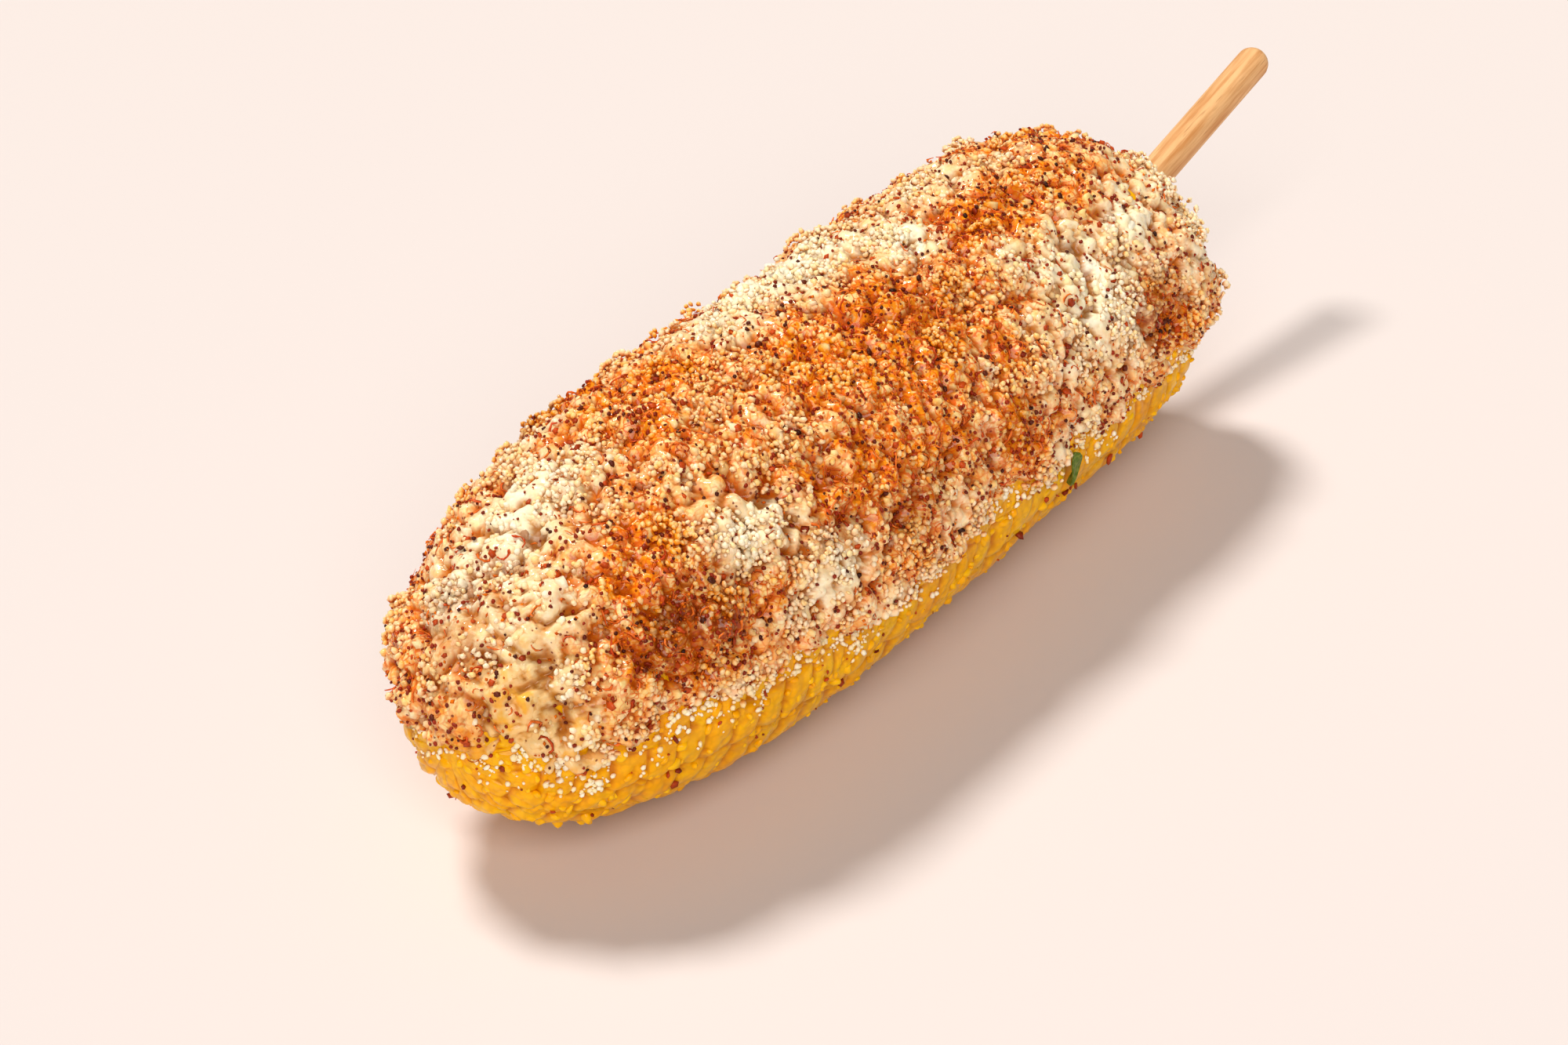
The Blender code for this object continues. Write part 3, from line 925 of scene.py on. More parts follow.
@dataclass(frozen=True)
class CremaFinish(Finish):
    """Milky crema and curds: cream on the lumps, painted shade in the folds and hollows, orange where chili
    lies.
    """

    milk: tuple = linear(255, 252, 238)
    cream: tuple = linear(254, 230, 162)
    # fold_shade and hollow_shade: painted shade in the folds and the hollows.
    fold_shade: tuple = linear(208, 142, 40)
    hollow_shade: tuple = linear(140, 72, 10)
    sauce: tuple = linear(240, 196, 116)
    gold: tuple = linear(240, 176, 50)
    stain: tuple = linear(248, 150, 22)
    scarlet: tuple = linear(226, 92, 0)
    # chili_fold_shade: painted shade in the folds where chili lies.
    chili_fold_shade: tuple = linear(184, 72, 0)
    burnt: tuple = linear(118, 34, 2)
    speck: tuple = linear(120, 30, 6)

    def _stained(self, graph: Graph, effects: Effects, colour: Socket) -> Socket:
        """Lays the chili's oil, its wandering scarlet lines, painted rust-coloured shade in the folds where
        chili lies, scorched patches and its finest specks over a colour.

        Args:
            graph: the material's graph.
            effects: the shared node groups.
            colour: the colour under the chili.

        Returns:
            The stained colour's socket.
        """
        chili = graph.attribute("chili")
        veil = graph.mottled(effects.mottle, 2.2 * MM, 1.8)
        veiled = graph.times(chili, graph.plus(graph.times(veil, 1.5), 0.2), clamp=True)
        colour = graph.blend(veiled, colour, self.stain)
        lines = graph.use(effects.network, Size=1.5 * MM, Width=0.09)["Mask"]
        colour = graph.lay(colour, self.scarlet, graph.times(lines, graph.ramp(chili, 0.12, 0.7)), 0.85)
        # Painted shade: the folds darkened to rust where chili lies.
        fold_shades = graph.times(graph.attribute("fold_shade"), graph.ramp(chili, 0.05, 0.5))
        colour = graph.lay(colour, self.chili_fold_shade, fold_shades, 0.8)
        burnt = graph.times(graph.attribute("scorch"), graph.plus(veil, 0.4), clamp=True)
        colour = graph.lay(colour, self.burnt, burnt, 0.9)
        amount = graph.plus(graph.times(chili, 0.30), 0.02)
        dots = graph.use(effects.specks, Size=0.75 * MM, Amount=amount)["Mask"]
        return graph.lay(colour, self.speck, dots, 0.85)

    def paint(self, graph: Graph, effects: Effects) -> Painted:
        """Cream, sauce, painted shade in folds and hollows under the chili, then the seams between curds:
        painted shade in plain places and chili where it lies.
        """
        warmth = graph.times(graph.attribute("chili"), 1.3)
        clouds = graph.times(graph.mottled(effects.mottle, 4 * MM, 1.0), 0.6)
        colour = graph.blend(graph.plus(clouds, warmth, clamp=True), self.milk, self.cream)
        sauce = graph.attribute("sauce")
        colour = graph.lay(colour, self.sauce, sauce, 0.8)
        golden = graph.ramp(graph.mottled(effects.mottle, 7 * MM, 1.6), 0.5, 1.0)
        colour = graph.blend(graph.times(golden, sauce), colour, self.gold)
        # Painted shade in the folds and the hollows.
        colour = graph.lay(colour, self.fold_shade, graph.attribute("fold_shade"), 0.85)
        colour = graph.lay(colour, self.hollow_shade, graph.attribute("hollow_shade"), 0.75)
        grains = graph.use(effects.granules, Size=0.95 * MM)["Height"]
        # The seams between granules: painted shade in plain places, scarlet chili where it lies.
        seam_shade_and_chili = graph.blend(graph.ramp(graph.attribute("chili"), 0.05, 0.5), self.fold_shade, self.scarlet)
        colour = graph.lay(self._stained(graph, effects, colour), seam_shade_and_chili, graph.ramp(grains, 0.45, 0.1), 0.6)
        return {"Base Color": colour}, grains, 0.5


@dataclass(frozen=True)
class CrumbFinish(Finish):
    """Crumbs of cheese: each its own tone of white, tinted by the chili round it, with painted shade at its
    foot and in hollows.
    """

    roughness: float = 0.4
    relief: float = 0.06 * MM
    wet: float = 0.35
    shine: float = 0.08
    pale: tuple = linear(255, 252, 238)
    warm: tuple = linear(254, 226, 152)
    # foot_shade, stained_foot_shade, hollow_shade and stained_hollow_shade: painted shade at a crumb's foot
    # and in hollows, plain and where chili lies.
    foot_shade: tuple = linear(214, 136, 44)
    stain: tuple = linear(248, 154, 26)
    stained_foot_shade: tuple = linear(192, 74, 0)
    hollow_shade: tuple = linear(156, 84, 16)
    stained_hollow_shade: tuple = linear(156, 56, 2)
    burnt: tuple = linear(134, 40, 4)

    def paint(self, graph: Graph, effects: Effects) -> Painted:
        """Its own tone, then the stain from below, painted shade at the foot and in hollows, and scorched
        patches.
        """
        clouds = graph.mottled(effects.mottle, 1.5 * MM, 0.8)
        chili, rise = graph.attribute("chili"), graph.attribute("rise")
        share = graph.plus(graph.attribute("tone"), graph.times(clouds, 0.3), clamp=True)
        share = graph.plus(graph.times(share, 0.7), graph.times(chili, 0.8), clamp=True)
        colour = graph.blend(share, self.pale, self.warm)
        lower = graph.plus(graph.ramp(rise, 1.0, 0.5), graph.times(clouds, 0.55))
        colour = graph.blend(graph.times(chili, lower, clamp=True), colour, self.stain)
        # Painted shade: each crumb darker towards its foot.
        foot_shade = graph.blend(graph.ramp(chili, 0.05, 0.6), self.foot_shade, self.stained_foot_shade)
        colour = graph.blend(graph.ramp(rise, 0.55, 0.1), colour, foot_shade)
        # Painted shade: crumbs in the coat's hollows darkened.
        deep = graph.blend(graph.ramp(chili, 0.1, 0.7), self.hollow_shade, self.stained_hollow_shade)
        colour = graph.lay(colour, deep, graph.attribute("hollow_shade"), 0.9)
        patchy = graph.plus(graph.mottled(effects.mottle, 2.2 * MM, 1.8), 0.3)
        burnt = graph.times(graph.attribute("scorch"), patchy, clamp=True)
        return {"Base Color": graph.lay(colour, self.burnt, burnt, 0.8)}, clouds, 0.3


@dataclass(frozen=True)
class GrainFinish(Finish):
    """Dry grains in two colours: each grain's tone is its place between them."""

    relief: float = 0.08 * MM
    wet: float = 0.1
    light: tuple = linear(244, 124, 36)
    dark: tuple = linear(168, 48, 12)

    def paint(self, graph: Graph, effects: Effects) -> Painted:
        """The grain's own tone, with a little cloud."""
        clouds = graph.mottled(effects.mottle, 0.6 * MM, 1.0)
        share = graph.plus(graph.attribute("tone"), graph.times(clouds, 0.2), clamp=True)
        return {"Base Color": graph.blend(share, self.light, self.dark)}, clouds, 0.3


@dataclass(frozen=True)
class LeafFinish(Finish):
    """A scrap of herb leaf: green with paler veins."""

    green: tuple = linear(84, 108, 30)
    vein: tuple = linear(140, 152, 70)

    def paint(self, graph: Graph, effects: Effects) -> Painted:
        """Veins along the creases between cells."""
        cells = graph.use(effects.granules, Size=0.7 * MM)
        colour = graph.blend(graph.times(cells["Crease"], 0.6), self.green, self.vein)
        return {"Base Color": colour}, cells["Height"], 0.4


@dataclass(frozen=True)
class WoodFinish(Finish):
    """Bare pale dowel wood: long fine grain and a few darker pores."""

    pale: tuple = linear(244, 196, 142)
    grain: tuple = linear(206, 142, 84)
    pore: tuple = linear(150, 92, 46)

    def paint(self, graph: Graph, effects: Effects) -> Painted:
        """Fibres, pores and broad bands, read along the stick from the mesh's own numbers."""
        place = {"X": graph.times(graph.attribute("along"), 0.06)}
        place |= {"Y": graph.attribute("side"), "Z": graph.attribute("up")}
        place = graph.add("CombineXYZ", place).outputs[0]
        fibres = {"Vector": place, "Scale": 1.0 / (1.1 * MM), "Detail": 4.0, "Roughness": 0.6}
        fibres = graph.add("TexNoise", fibres).outputs[0]
        pores = {"Vector": place, "Scale": 1.0 / (0.35 * MM), "Detail": 2.0}
        pores = graph.add("TexNoise", pores).outputs[0]
        colour = graph.blend(graph.ramp(fibres, 0.35, 0.7), self.pale, self.grain)
        colour = graph.lay(colour, self.pore, graph.ramp(pores, 0.62, 0.74), 0.5)
        colour = graph.lay(colour, self.grain, graph.mottled(effects.mottle, 9 * MM, 0.8), 0.25)
        return {"Base Color": colour}, fibres, 0.25


@dataclass(frozen=True)
class FloorFinish(Finish):
    """A matt pale floor with a faint broad variation."""

    pale: tuple = linear(227, 219, 221)
    paler: tuple = linear(226, 218, 220)

    def paint(self, graph: Graph, effects: Effects) -> Painted:
        """The two tones mixed by a broad noise, with no bump."""
        faint = graph.add("TexNoise", {"Vector": graph.spot(), "Scale": 3.0}).outputs[0]
        return {"Base Color": graph.blend(faint, self.pale, self.paler)}, None, 0.0


# Sub-assemblies


def settle(piece: Thing, material: Material, slot: str, *nodes: str) -> None:
    """Dresses a piece, rides it on the part's one body, hides the CAD nodes that it replaces and logs its
    triangles.

    Args:
        piece: the new piece.
        material: its finish.
        slot: the record's material slot; not used.
        *nodes: the CAD nodes that it replaces.
    """
    piece.data.materials.append(material)
    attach(piece, "root")
    if nodes:
        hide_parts(*nodes)
    faces = sum(len(face.vertices) - 2 for face in piece.data.polygons)
    LOG.info("%s: %d triangles", piece.name, faces)


@dataclass(frozen=True)
class Ear:
    """The bare ear: rows of kernels on a turned form, with the cob's cut face at its butt.

    Attributes:
        form: the outline on which the crowns lie.
        rows: the kernels' rows.
        noise: the noise that roughens them.
        depth: how deep the furrows are.
        cob_radius: the radius of the cob's cut face.
        spacing: the mesh's spacing along the ear.
        bare: where the fine columns begin and end, in degrees: what the coat leaves bare.
    """

    form: EarForm
    rows: Rows
    noise: Noise = Noise(11)
    depth: float = 1.3 * MM
    cob_radius: float = 10.8 * MM
    spacing: float = 0.56 * MM
    bare: tuple[float, float] = (160.0, 384.0)

    def height(self, arc: Array, angle: Array) -> tuple[Array, Array, Array]:
        """How far the skin lies from the crowns' outline.

        It is the furrow's depth where no kernel stands, plus a random lift for each kernel, plus
        flowing shreds: domes of noise drawn out round the ear to twice their length, 3.4 mm and
        1.8 mm across. All of it fades towards the poles.

        Args:
            arc, angle: the places, in metres from the tip and in radians.

        Returns:
            The height, the furrow mask, which also sets the painted shade in the furrows, and each kernel's
            random number.
        """
        dome, chance = self.rows.dome(arc, angle)
        girth = max(self.form.radii)
        unrolled = 0.5 * girth * np.mod(angle - math.pi / 2.0, TURN)
        flat = np.stack([arc, unrolled, 0.35 * arc], axis=-1).reshape(-1, 3)
        bend = self.noise.smooth(flat, 4.0 * MM)[:, None] * np.array([1.5, 0.8, 0.0]) * MM
        shreds = 0.85 * MM * self.noise.domes(flat + bend, 3.4 * MM, 0.85)
        shreds = shreds + 0.45 * MM * Noise(12).domes(flat + bend, 1.8 * MM, 0.8)
        worn = shreds.reshape(arc.shape) + 0.4 * MM * (chance - 0.5)
        fade = smooth_step(self.form.radius_at(arc), 2.0 * MM, 12.0 * MM)
        # 0 on a crown and 1 in the furrow: it sets the furrow's depth and, through the furrow mask, its
        #                                   painted shade.
        hollow_shade = 1.0 - dome
        return fade * (worn - self.depth * hollow_shade - 0.6 * MM), hollow_shade, chance

    def surface(self) -> Surface:
        """The ear's skin: a closed tube from the tip's pole to the middle of the cob's face.

        Rings run evenly along the arc to the cob. Then they step into a groove and across the cob's
        face, which bulges slightly. What would reach below the floor is laid flat on it.

        Returns:
            The surface, with each kernel's tone, the painted shade of its furrows, creases and the cob's
            groove, and the cob as numbers.
        """
        end = self.form.arc_where_butt_radius(self.cob_radius)
        arcs = np.linspace(0.0, end, int(end / self.spacing))
        angles = columns(*self.bare, 226, 60)
        arc, angle = np.meshgrid(arcs, angles, indexing="ij")
        height, furrow_shade, chance = self.height(arc, angle)
        skin = self.form.place(arc, angle, height)
        rim_x = skin[-1, :, 0].mean()
        depth = np.array([0.9, 1.5, 1.6, 0.9, 0.35, 0.1, 0.0, -0.1, -0.15]) * MM
        share = np.array([0.985, 0.955, 0.925, 0.90, 0.86, 0.72, 0.48, 0.22, 0.0])
        ripple = 1.0 + 0.02 * np.sin(9.0 * angles) + 0.012 * np.sin(23.0 * angles + 1.0)
        radius = self.cob_radius * share[:, None] * ripple
        across = np.broadcast_to((rim_x - depth)[:, None], radius.shape)
        side, up = radius * np.cos(angles), self.form.axis_height + radius * np.sin(angles)
        rings = np.concatenate([skin, np.stack([across, side, up], axis=-1)])
        rings[..., 2] = np.maximum(rings[..., 2], 0.0)
        # Painted shade: creases lie lower than the height blurred, and they, the furrows and the groove round
        # the cob's face are darkened.
        crease_shades = smooth_step(softened(height, 10) - height, 0.0, 0.35 * MM)
        fold_shades = np.clip(0.7 * smooth_step(furrow_shade, 0.35, 1.0) + 0.85 * crease_shades, 0.0, 1.0)
        extra = np.zeros((len(depth), len(angles)))
        cob = np.concatenate([np.zeros(arc.shape), extra + smooth_step(-share, -0.94, -0.90)[:, None]])
        fold_shade = np.concatenate([fold_shades, extra + smooth_step(share, 0.88, 0.94)[:, None]])
        tone = np.concatenate([chance, extra + 0.5])
        return closed_tube(rings, {"tone": tone, "fold_shade": fold_shade, "cob": cob})

    def build(self, effects: Effects) -> None:
        """Makes the piece and dresses it."""
        finish = KernelFinish(
            "moist_kernels", roughness=0.35, subsurface=0.3, depth=1.4 * MM, wet=0.25, shine=0.08
        )
        settle(self.surface().to_object("kernels"), finish.build(effects), "kernels", "ear")


@dataclass(frozen=True)
class Coat:
    """The coat of crema and curds over the upper half of the ear.

    Attributes:
        form: the outline of the kernels' crowns.
        rows: the kernels' rows, which show faintly through the coat.
        chili: where the chili lies.
        noise: the noise that shapes the lumps.
        body: the coat's thickness without its lumps.
        sink: how far it dives under the crowns where it isn't seen.
        edge_drop: how far its lower edge lies under the axis.
        opening: the radius round the cob's face that stays free.
        spacing: the mesh's spacing along the ear.
        shown: where the fine columns begin and end, in degrees.
        fine: how many fine columns there are.
        smooth_tip: where the coat is smooth sauce.
    """

    form: EarForm
    rows: Rows
    chili: ChiliCloud
    noise: Noise = Noise(5)
    body: float = 0.9 * MM
    sink: float = 2.4 * MM
    edge_drop: float = 1.0 * MM
    opening: float = 13.0 * MM
    spacing: float = 0.46 * MM
    shown: tuple[float, float] = (-20.0, 200.0)
    fine: int = 226
    smooth_tip: Patch = Patch(0.0, 158.0, 0.075, 62.0, 1.0)

    def above_edge(self, arc: Array, angle: Array) -> Array:
        """How far each place lies inside the coat's edge: the height over a wavy, ragged line.

        The line waves by 1.4 mm and 1.0 mm along the ear, rises at the tip and sinks at the butt. Noise
        makes it ragged and lets drips run down at the tip. At the butt the distance from the cob's
        free face counts as well.

        Args:
            arc, angle: the places, as single rows.

        Returns:
            The distance, negative outside the coat.
        """
        points = self.form.place(arc, angle)
        middle = self.form.tip_x + self.form.length / 2.0
        turn = TURN * (points[:, 0] - middle) / self.form.length
        phase = np.where(np.cos(angle) < 0.0, 0.0, 1.9)
        waves = 1.4 * MM * np.sin(3.0 * turn + 0.6 + phase)
        waves = waves + 1.0 * MM * np.sin(7.0 * turn - 0.8 + 2.0 * phase)
        ends = np.where(turn < 0.0, 4.5 * MM, -4.0 * MM) * np.clip(np.abs(turn) / math.pi, 0.0, 1.0) ** 6
        line = self.form.axis_height - self.edge_drop + waves + ends
        ragged = 2.4 * MM * self.noise.layered(points, 6.0 * MM, 2)
        ragged = ragged + 1.3 * MM * self.noise.smooth(points, 2.0 * MM)
        tip = 1.0 - smooth_step(self.form.share_at(arc), 0.05, 0.2)
        drips = tip * (4.0 * MM * self.noise.smooth(points + 7.0, 3.6 * MM) + 1.5 * MM)
        inside = points[:, 2] - line + ragged + drips
        butt = self.form.share_at(arc) > 0.7
        free = self.form.radius_at(arc) - self.opening + 1.6 * MM * self.noise.smooth(points, 5.0 * MM)
        return np.where(butt, np.minimum(inside, free), inside)

    def sauce(self, arc: Array, angle: Array) -> Array:
        """Where the coat is smooth sauce and not curds: round the tip, from 0 to 1."""
        return self.smooth_tip.at(self.form.share_at(arc), np.degrees(angle))

    def height(self, arc: Array, angle: Array) -> Array:
        """The coat's height over the crowns.

        Its body, plus slow swells, ridges round the ear over the kernels under it, and lumps of
        6.5 mm, 3.4 mm, 2.1 mm and 1.25 mm, each a field of domes that noise has warped. At its
        edge it drops steeply, and beyond the edge it dives under the kernels.

        Args:
            arc, angle: the places, as single rows.

        Returns:
            The height, one for each place.
        """
        points = self.form.place(arc, angle)
        warp = [self.noise.smooth(points + shift, 3.0 * MM) for shift in (1.0, 2.0, 3.0)]
        warped = points + 0.8 * MM * np.stack(warp, axis=-1)
        swells = 0.8 * MM * self.noise.layered(points, 14.0 * MM, 2)
        place = self.rows.per_row * arc / self.form.arc_length() + 0.9 * self.noise.smooth(points, 7.0 * MM)
        patchy = smooth_step(self.noise.smooth(points + 5.0, 16.0 * MM), -0.5, 0.4)
        ridges = (0.2 + 0.8 * patchy) * MM * np.sqrt(np.abs(np.sin(math.pi * place)))
        curdy = 1.0 - self.sauce(arc, angle)
        lumps = 2.0 * MM * self.noise.domes(warped, 6.5 * MM, 0.75)
        curds = (1.2 + 0.4 * curdy) * MM * Noise(6).domes(warped, 3.4 * MM, 0.75)
        knobs = (0.6 + 0.4 * curdy) * MM * Noise(7).domes(warped, 2.1 * MM, 0.75)
        grains = (0.2 + 0.3 * curdy) * MM * Noise(8).domes(warped, 1.25 * MM, 0.8)
        above = self.above_edge(arc, angle)
        cover = smooth_step(above, -0.6 * MM, 1.0 * MM)
        thin = 0.5 + 0.5 * smooth_step(above, 0.5 * MM, 9.0 * MM)
        full = thin * (self.body + swells + ridges) + 0.85 * lumps + curds + knobs + grains - 1.9 * MM
        return cover * full - (1.0 - cover) * self.sink

    @cached_property
    def grid(self) -> tuple[Array, Array, Array, Array, Array]:
        """Arc, angle, height, and the painted shade of folds and hollows over the coat's mesh.

        Fold shade lies where the height is lower than blurred over 1 mm, hollow shade where it is lower than
        blurred over 4 mm.
        """
        end = self.form.arc_where_butt_radius(self.opening - 2.5 * MM)
        arcs = np.linspace(0.0, end, int(end / self.spacing))
        angles = columns(*self.shown, self.fine, 10)
        arc, angle = np.meshgrid(arcs, angles, indexing="ij")
        height = self.height(arc.ravel(), angle.ravel()).reshape(arc.shape)
        height[0] = height[0].mean()
        # Painted shade: folds and hollows, read from how far the height lies below its blurred self.
        fold_shade = smooth_step(softened(height, 8) - height, -0.05 * MM, 0.38 * MM)
        hollow_shade = smooth_step(softened(height, 90) - height, 0.0, 0.85 * MM)
        return arc, angle, height, fold_shade, hollow_shade

    def hollow_shade_at(self, arc: Array, angle: Array) -> Array:
        """How much painted hollow shade each place takes, read at the nearest of the mesh's fine points."""
        arcs, _, _, _, hollow_shade = self.grid
        row = np.rint(arc / arcs[1, 0]).astype(int)
        first, last = self.shown
        column = np.rint((np.degrees(angle) - first) / (last - first) * (self.fine - 1)).astype(int)
        return hollow_shade[np.clip(row, 0, len(hollow_shade) - 1), np.clip(column, 0, self.fine - 1)]

    def surface(self) -> Surface:
        """The coat's skin, closed under the kernels and at both poles.

        Columns are fine where the coat shows and wide underneath. The last rings turn in behind the
        butt's opening to a pole inside the ear.

        Returns:
            The surface, with the painted shade of its folds and hollows, and its chili, scorch and sauce as
            numbers.
        """
        arc, angle, height, fold_shade, hollow_shade = self.grid
        skin = self.form.place(arc, angle, height)
        inner = np.linspace(1.0, 0.0, 5)[1:, None, None]
        centre = np.array([0.0, 0.0, self.form.axis_height])
        caps = centre + (skin[-1:] - centre) * np.concatenate([inner**0, inner, inner], axis=2)
        caps[..., :1] -= 4.0 * MM * np.sqrt(1.0 - inner)
        rest = np.zeros((len(inner), arc.shape[1]))
        chili = self.chili.dust(arc.ravel(), angle.ravel()).reshape(arc.shape)
        scorch = self.chili.scorch(arc.ravel(), angle.ravel()).reshape(arc.shape)
        sauce = self.sauce(arc, angle)
        values = {"fold_shade": fold_shade, "hollow_shade": hollow_shade, "chili": chili, "scorch": scorch, "sauce": sauce}
        values = {key: np.concatenate([number, rest]) for key, number in values.items()}
        return closed_tube(np.concatenate([skin, caps]), values)

    def build(self, effects: Effects) -> None:
        """Makes the piece and dresses it."""
        finish = CremaFinish(
            "crema_and_curds", roughness=0.4, subsurface=0.12, depth=0.5 * MM, wet=0.45, shine=0.08
        )
        settle(self.surface().to_object("coat"), finish.build(effects), "crema_cheese", "coating")


@dataclass(frozen=True)
class Sprinkle:
    """One kind of small bit, strewn over the ear.

    Attributes:
        name: the piece's name.
        seed: the shape that is strewn.
        count: how many bits there are.
        small, large: the smallest and the largest bit's size.
        flatness: a bit's thickness as a share of its size.
        stretch: how much longer than wide a bit can be.
        bias: how strongly small bits outnumber large ones.
        lift: how far a bit's middle stands over the surface, as a share of its size.
        uneven: how far each bit's points move in or out.
        together: how many bits lie in one clump.
        reach: a clump's radius.
        heap: how far a clump's middle is raised.
    """

    name: str
    seed: Seed
    count: int
    small: float
    large: float
    flatness: float = 0.8
    stretch: float = 1.3
    bias: float = 1.6
    lift: float = 0.15
    uneven: float = 0.2
    together: int = 1
    reach: float = 0.0
    heap: float = 0.0

    def draw(self) -> Random:
        """The kind's own random numbers, seeded by its name."""
        return np.random.default_rng(sum(ord(letter) * (i + 1) for i, letter in enumerate(self.name)))

    def sizes(self, rng: Random) -> Array:
        """Each bit's size along its own three axes."""
        across = self.small + (self.large - self.small) * rng.random(self.count) ** self.bias
        longer = rng.uniform(1.0, self.stretch, self.count)
        thick = self.flatness * rng.uniform(0.8, 1.2, self.count)
        return np.stack([across * longer, across, across * thick], axis=1)


@dataclass(frozen=True)
class Toppings:
    """Everything loose on the ear: crumbs, chili and specks.

    Attributes:
        coat: the coat that most of it lies on.
        ear: the bare ear, for what lies below the coat.
        over, under: where the coat and the bare kernels lie, in degrees.
        step: the length of the steps from which a direction is read.
    """

    coat: Coat
    ear: Ear
    over: tuple[float, float] = (-14.0, 194.0)
    under: tuple[float, float] = (160.0, 380.0)
    step: float = 0.4 * MM

    def _draw(self, kind: Sprinkle, rng: Random, span: tuple[float, float], weight: Weight) -> tuple:
        """Random places, even over the surface and thinned out by a weight, gathered into clumps.

        Args:
            kind: what is strewn.
            rng: the source of random numbers.
            span: the lowest and the highest angle, in degrees.
            weight: gives a chance from 0 to 1 for each arc and angle.

        Returns:
            Each bit's arc and angle, and how far its clump raises it.
        """
        form = self.coat.form
        clumps = math.ceil(kind.count / kind.together)
        end = form.arc_where_butt_radius(self.coat.opening)
        widest = max(form.radii)
        arcs, angles = np.empty(0), np.empty(0)
        while len(arcs) < clumps:
            arc = rng.uniform(0.0, end, 4 * clumps)
            angle = np.radians(rng.uniform(*span, 4 * clumps))
            chance = weight(arc, angle) * form.radius_at(arc) / widest
            kept = rng.random(4 * clumps) < chance
            arcs, angles = np.append(arcs, arc[kept]), np.append(angles, angle[kept])
        arcs = np.repeat(arcs[:clumps], kind.together)[: kind.count]
        angles = np.repeat(angles[:clumps], kind.together)[: kind.count]
        if kind.together == 1:
            return arcs, angles, np.zeros(kind.count)
        away = np.sqrt(rng.random(kind.count))
        heading = rng.uniform(0.0, TURN, kind.count)
        arcs = np.clip(arcs + kind.reach * away * np.cos(heading), 0.0, end)
        angles = angles + kind.reach * away * np.sin(heading) / np.maximum(form.radius_at(arcs), 4.0 * MM)
        return arcs, angles, kind.heap * (1.0 - away**2)

    def _on_coat(self, arc: Array, angle: Array) -> tuple[Array, Array]:
        """Points on the coat's skin and the skin's outward direction there.

        The direction is the cross product of two short steps over the skin, one along and one round.

        Args:
            arc, angle: the places, in metres from the tip and in radians.

        Returns:
            Points and unit normals.
        """
        form, step = self.coat.form, self.step
        here = form.place(arc, angle, self.coat.height(arc, angle))
        ahead = form.place(arc + step, angle, self.coat.height(arc + step, angle))
        turn = step / np.maximum(form.radius_at(arc), 2.0 * MM)
        beside = form.place(arc, angle + turn, self.coat.height(arc, angle + turn))
        normal = np.cross(beside - here, ahead - here)
        normal /= np.maximum(np.linalg.norm(normal, axis=1, keepdims=True), 1e-12)
        outwards = form.normal(arc, angle)
        normal *= np.sign(np.sum(normal * outwards, axis=1, keepdims=True) + 1e-9)
        return here, normal

    @staticmethod
    def _lay(kind: Sprinkle, rng: Random, where: tuple, turns: Array, values: dict) -> Thing:
        """Makes the piece of one kind.

        Args:
            kind: what is strewn.
            rng: the source of random numbers.
            where: each bit's foot, outward direction, height over its foot and size.
            turns: each bit's rotation matrix.
            values: named arrays with one number for each bit.

        Returns:
            The piece.
        """
        spots, normals, raised, sizes = where
        centres = spots + normals * (kind.lift * sizes[:, 1:2] + raised[:, None])
        bits = scattered(kind.seed, centres, sizes, turns, normals, kind.uneven, rng, values)
        return bits.to_object(kind.name)

    def strew(self, kind: Sprinkle, material: Material, slot: str, weight: Weight, flat: bool = False) -> None:
        """Strews one kind of bit over the coat.

        Args:
            kind: what is strewn.
            material: its finish.
            slot: the record's material slot.
            weight: gives a chance from 0 to 1 for each arc and angle.
            flat: whether bits lie flat on the coat, and not in any direction.
        """
        rng = kind.draw()
        arc, angle, raised = self._draw(kind, rng, self.over, weight)
        spots, normals = self._on_coat(arc, angle)
        turns = flat_turns(rng, normals) if flat else random_turns(rng, kind.count)
        sizes = kind.sizes(rng)
        values = {"tone": rng.random(kind.count) ** 1.8, "chili": self.coat.chili.dust(arc, angle)}
        # Painted hollow shade under each bit, less where its clump raises it.
        values["hollow_shade"] = np.clip(self.coat.hollow_shade_at(arc, angle) - raised / MM, 0.0, 1.0)
        values["scorch"] = self.coat.chili.scorch(arc, angle)
        settle(self._lay(kind, rng, (spots, normals, raised, sizes), turns, values), material, slot)

    def strew_below(self, kind: Sprinkle, material: Material, slot: str, reach: float) -> None:
        """Strews bits over the bare kernels, thinning out below the coat's edge.

        Args:
            kind: what is strewn.
            material: its finish.
            slot: the record's material slot.
            reach: how far below the edge the bits thin out to nothing.
        """
        rng, form = kind.draw(), self.coat.form

        def weight(arc: Array, angle: Array) -> Array:
            """The chance of a bit: none on the coat or near the floor, and less further down."""
            above = self.coat.above_edge(arc, angle)
            free = (above < 0.3 * MM) * (form.place(arc, angle)[:, 2] > 2.2 * MM)
            return free * smooth_step(above, -reach, 0.0)

        arc, angle, raised = self._draw(kind, rng, self.under, weight)
        spots = form.place(arc, angle, self.ear.height(arc, angle)[0])
        where = (spots, form.normal(arc, angle), raised, kind.sizes(rng))
        none = np.zeros(kind.count)
        # No painted hollow shade on the bits below the coat.
        values = {"tone": rng.random(kind.count), "chili": none, "hollow_shade": none, "scorch": none}
        settle(self._lay(kind, rng, where, random_turns(rng, kind.count), values), material, slot)

    def covered(self, arc: Array, angle: Array) -> Array:
        """1 where the coat covers the ear and 0 elsewhere."""
        return (self.coat.above_edge(arc, angle) > 0.2 * MM).astype(float)

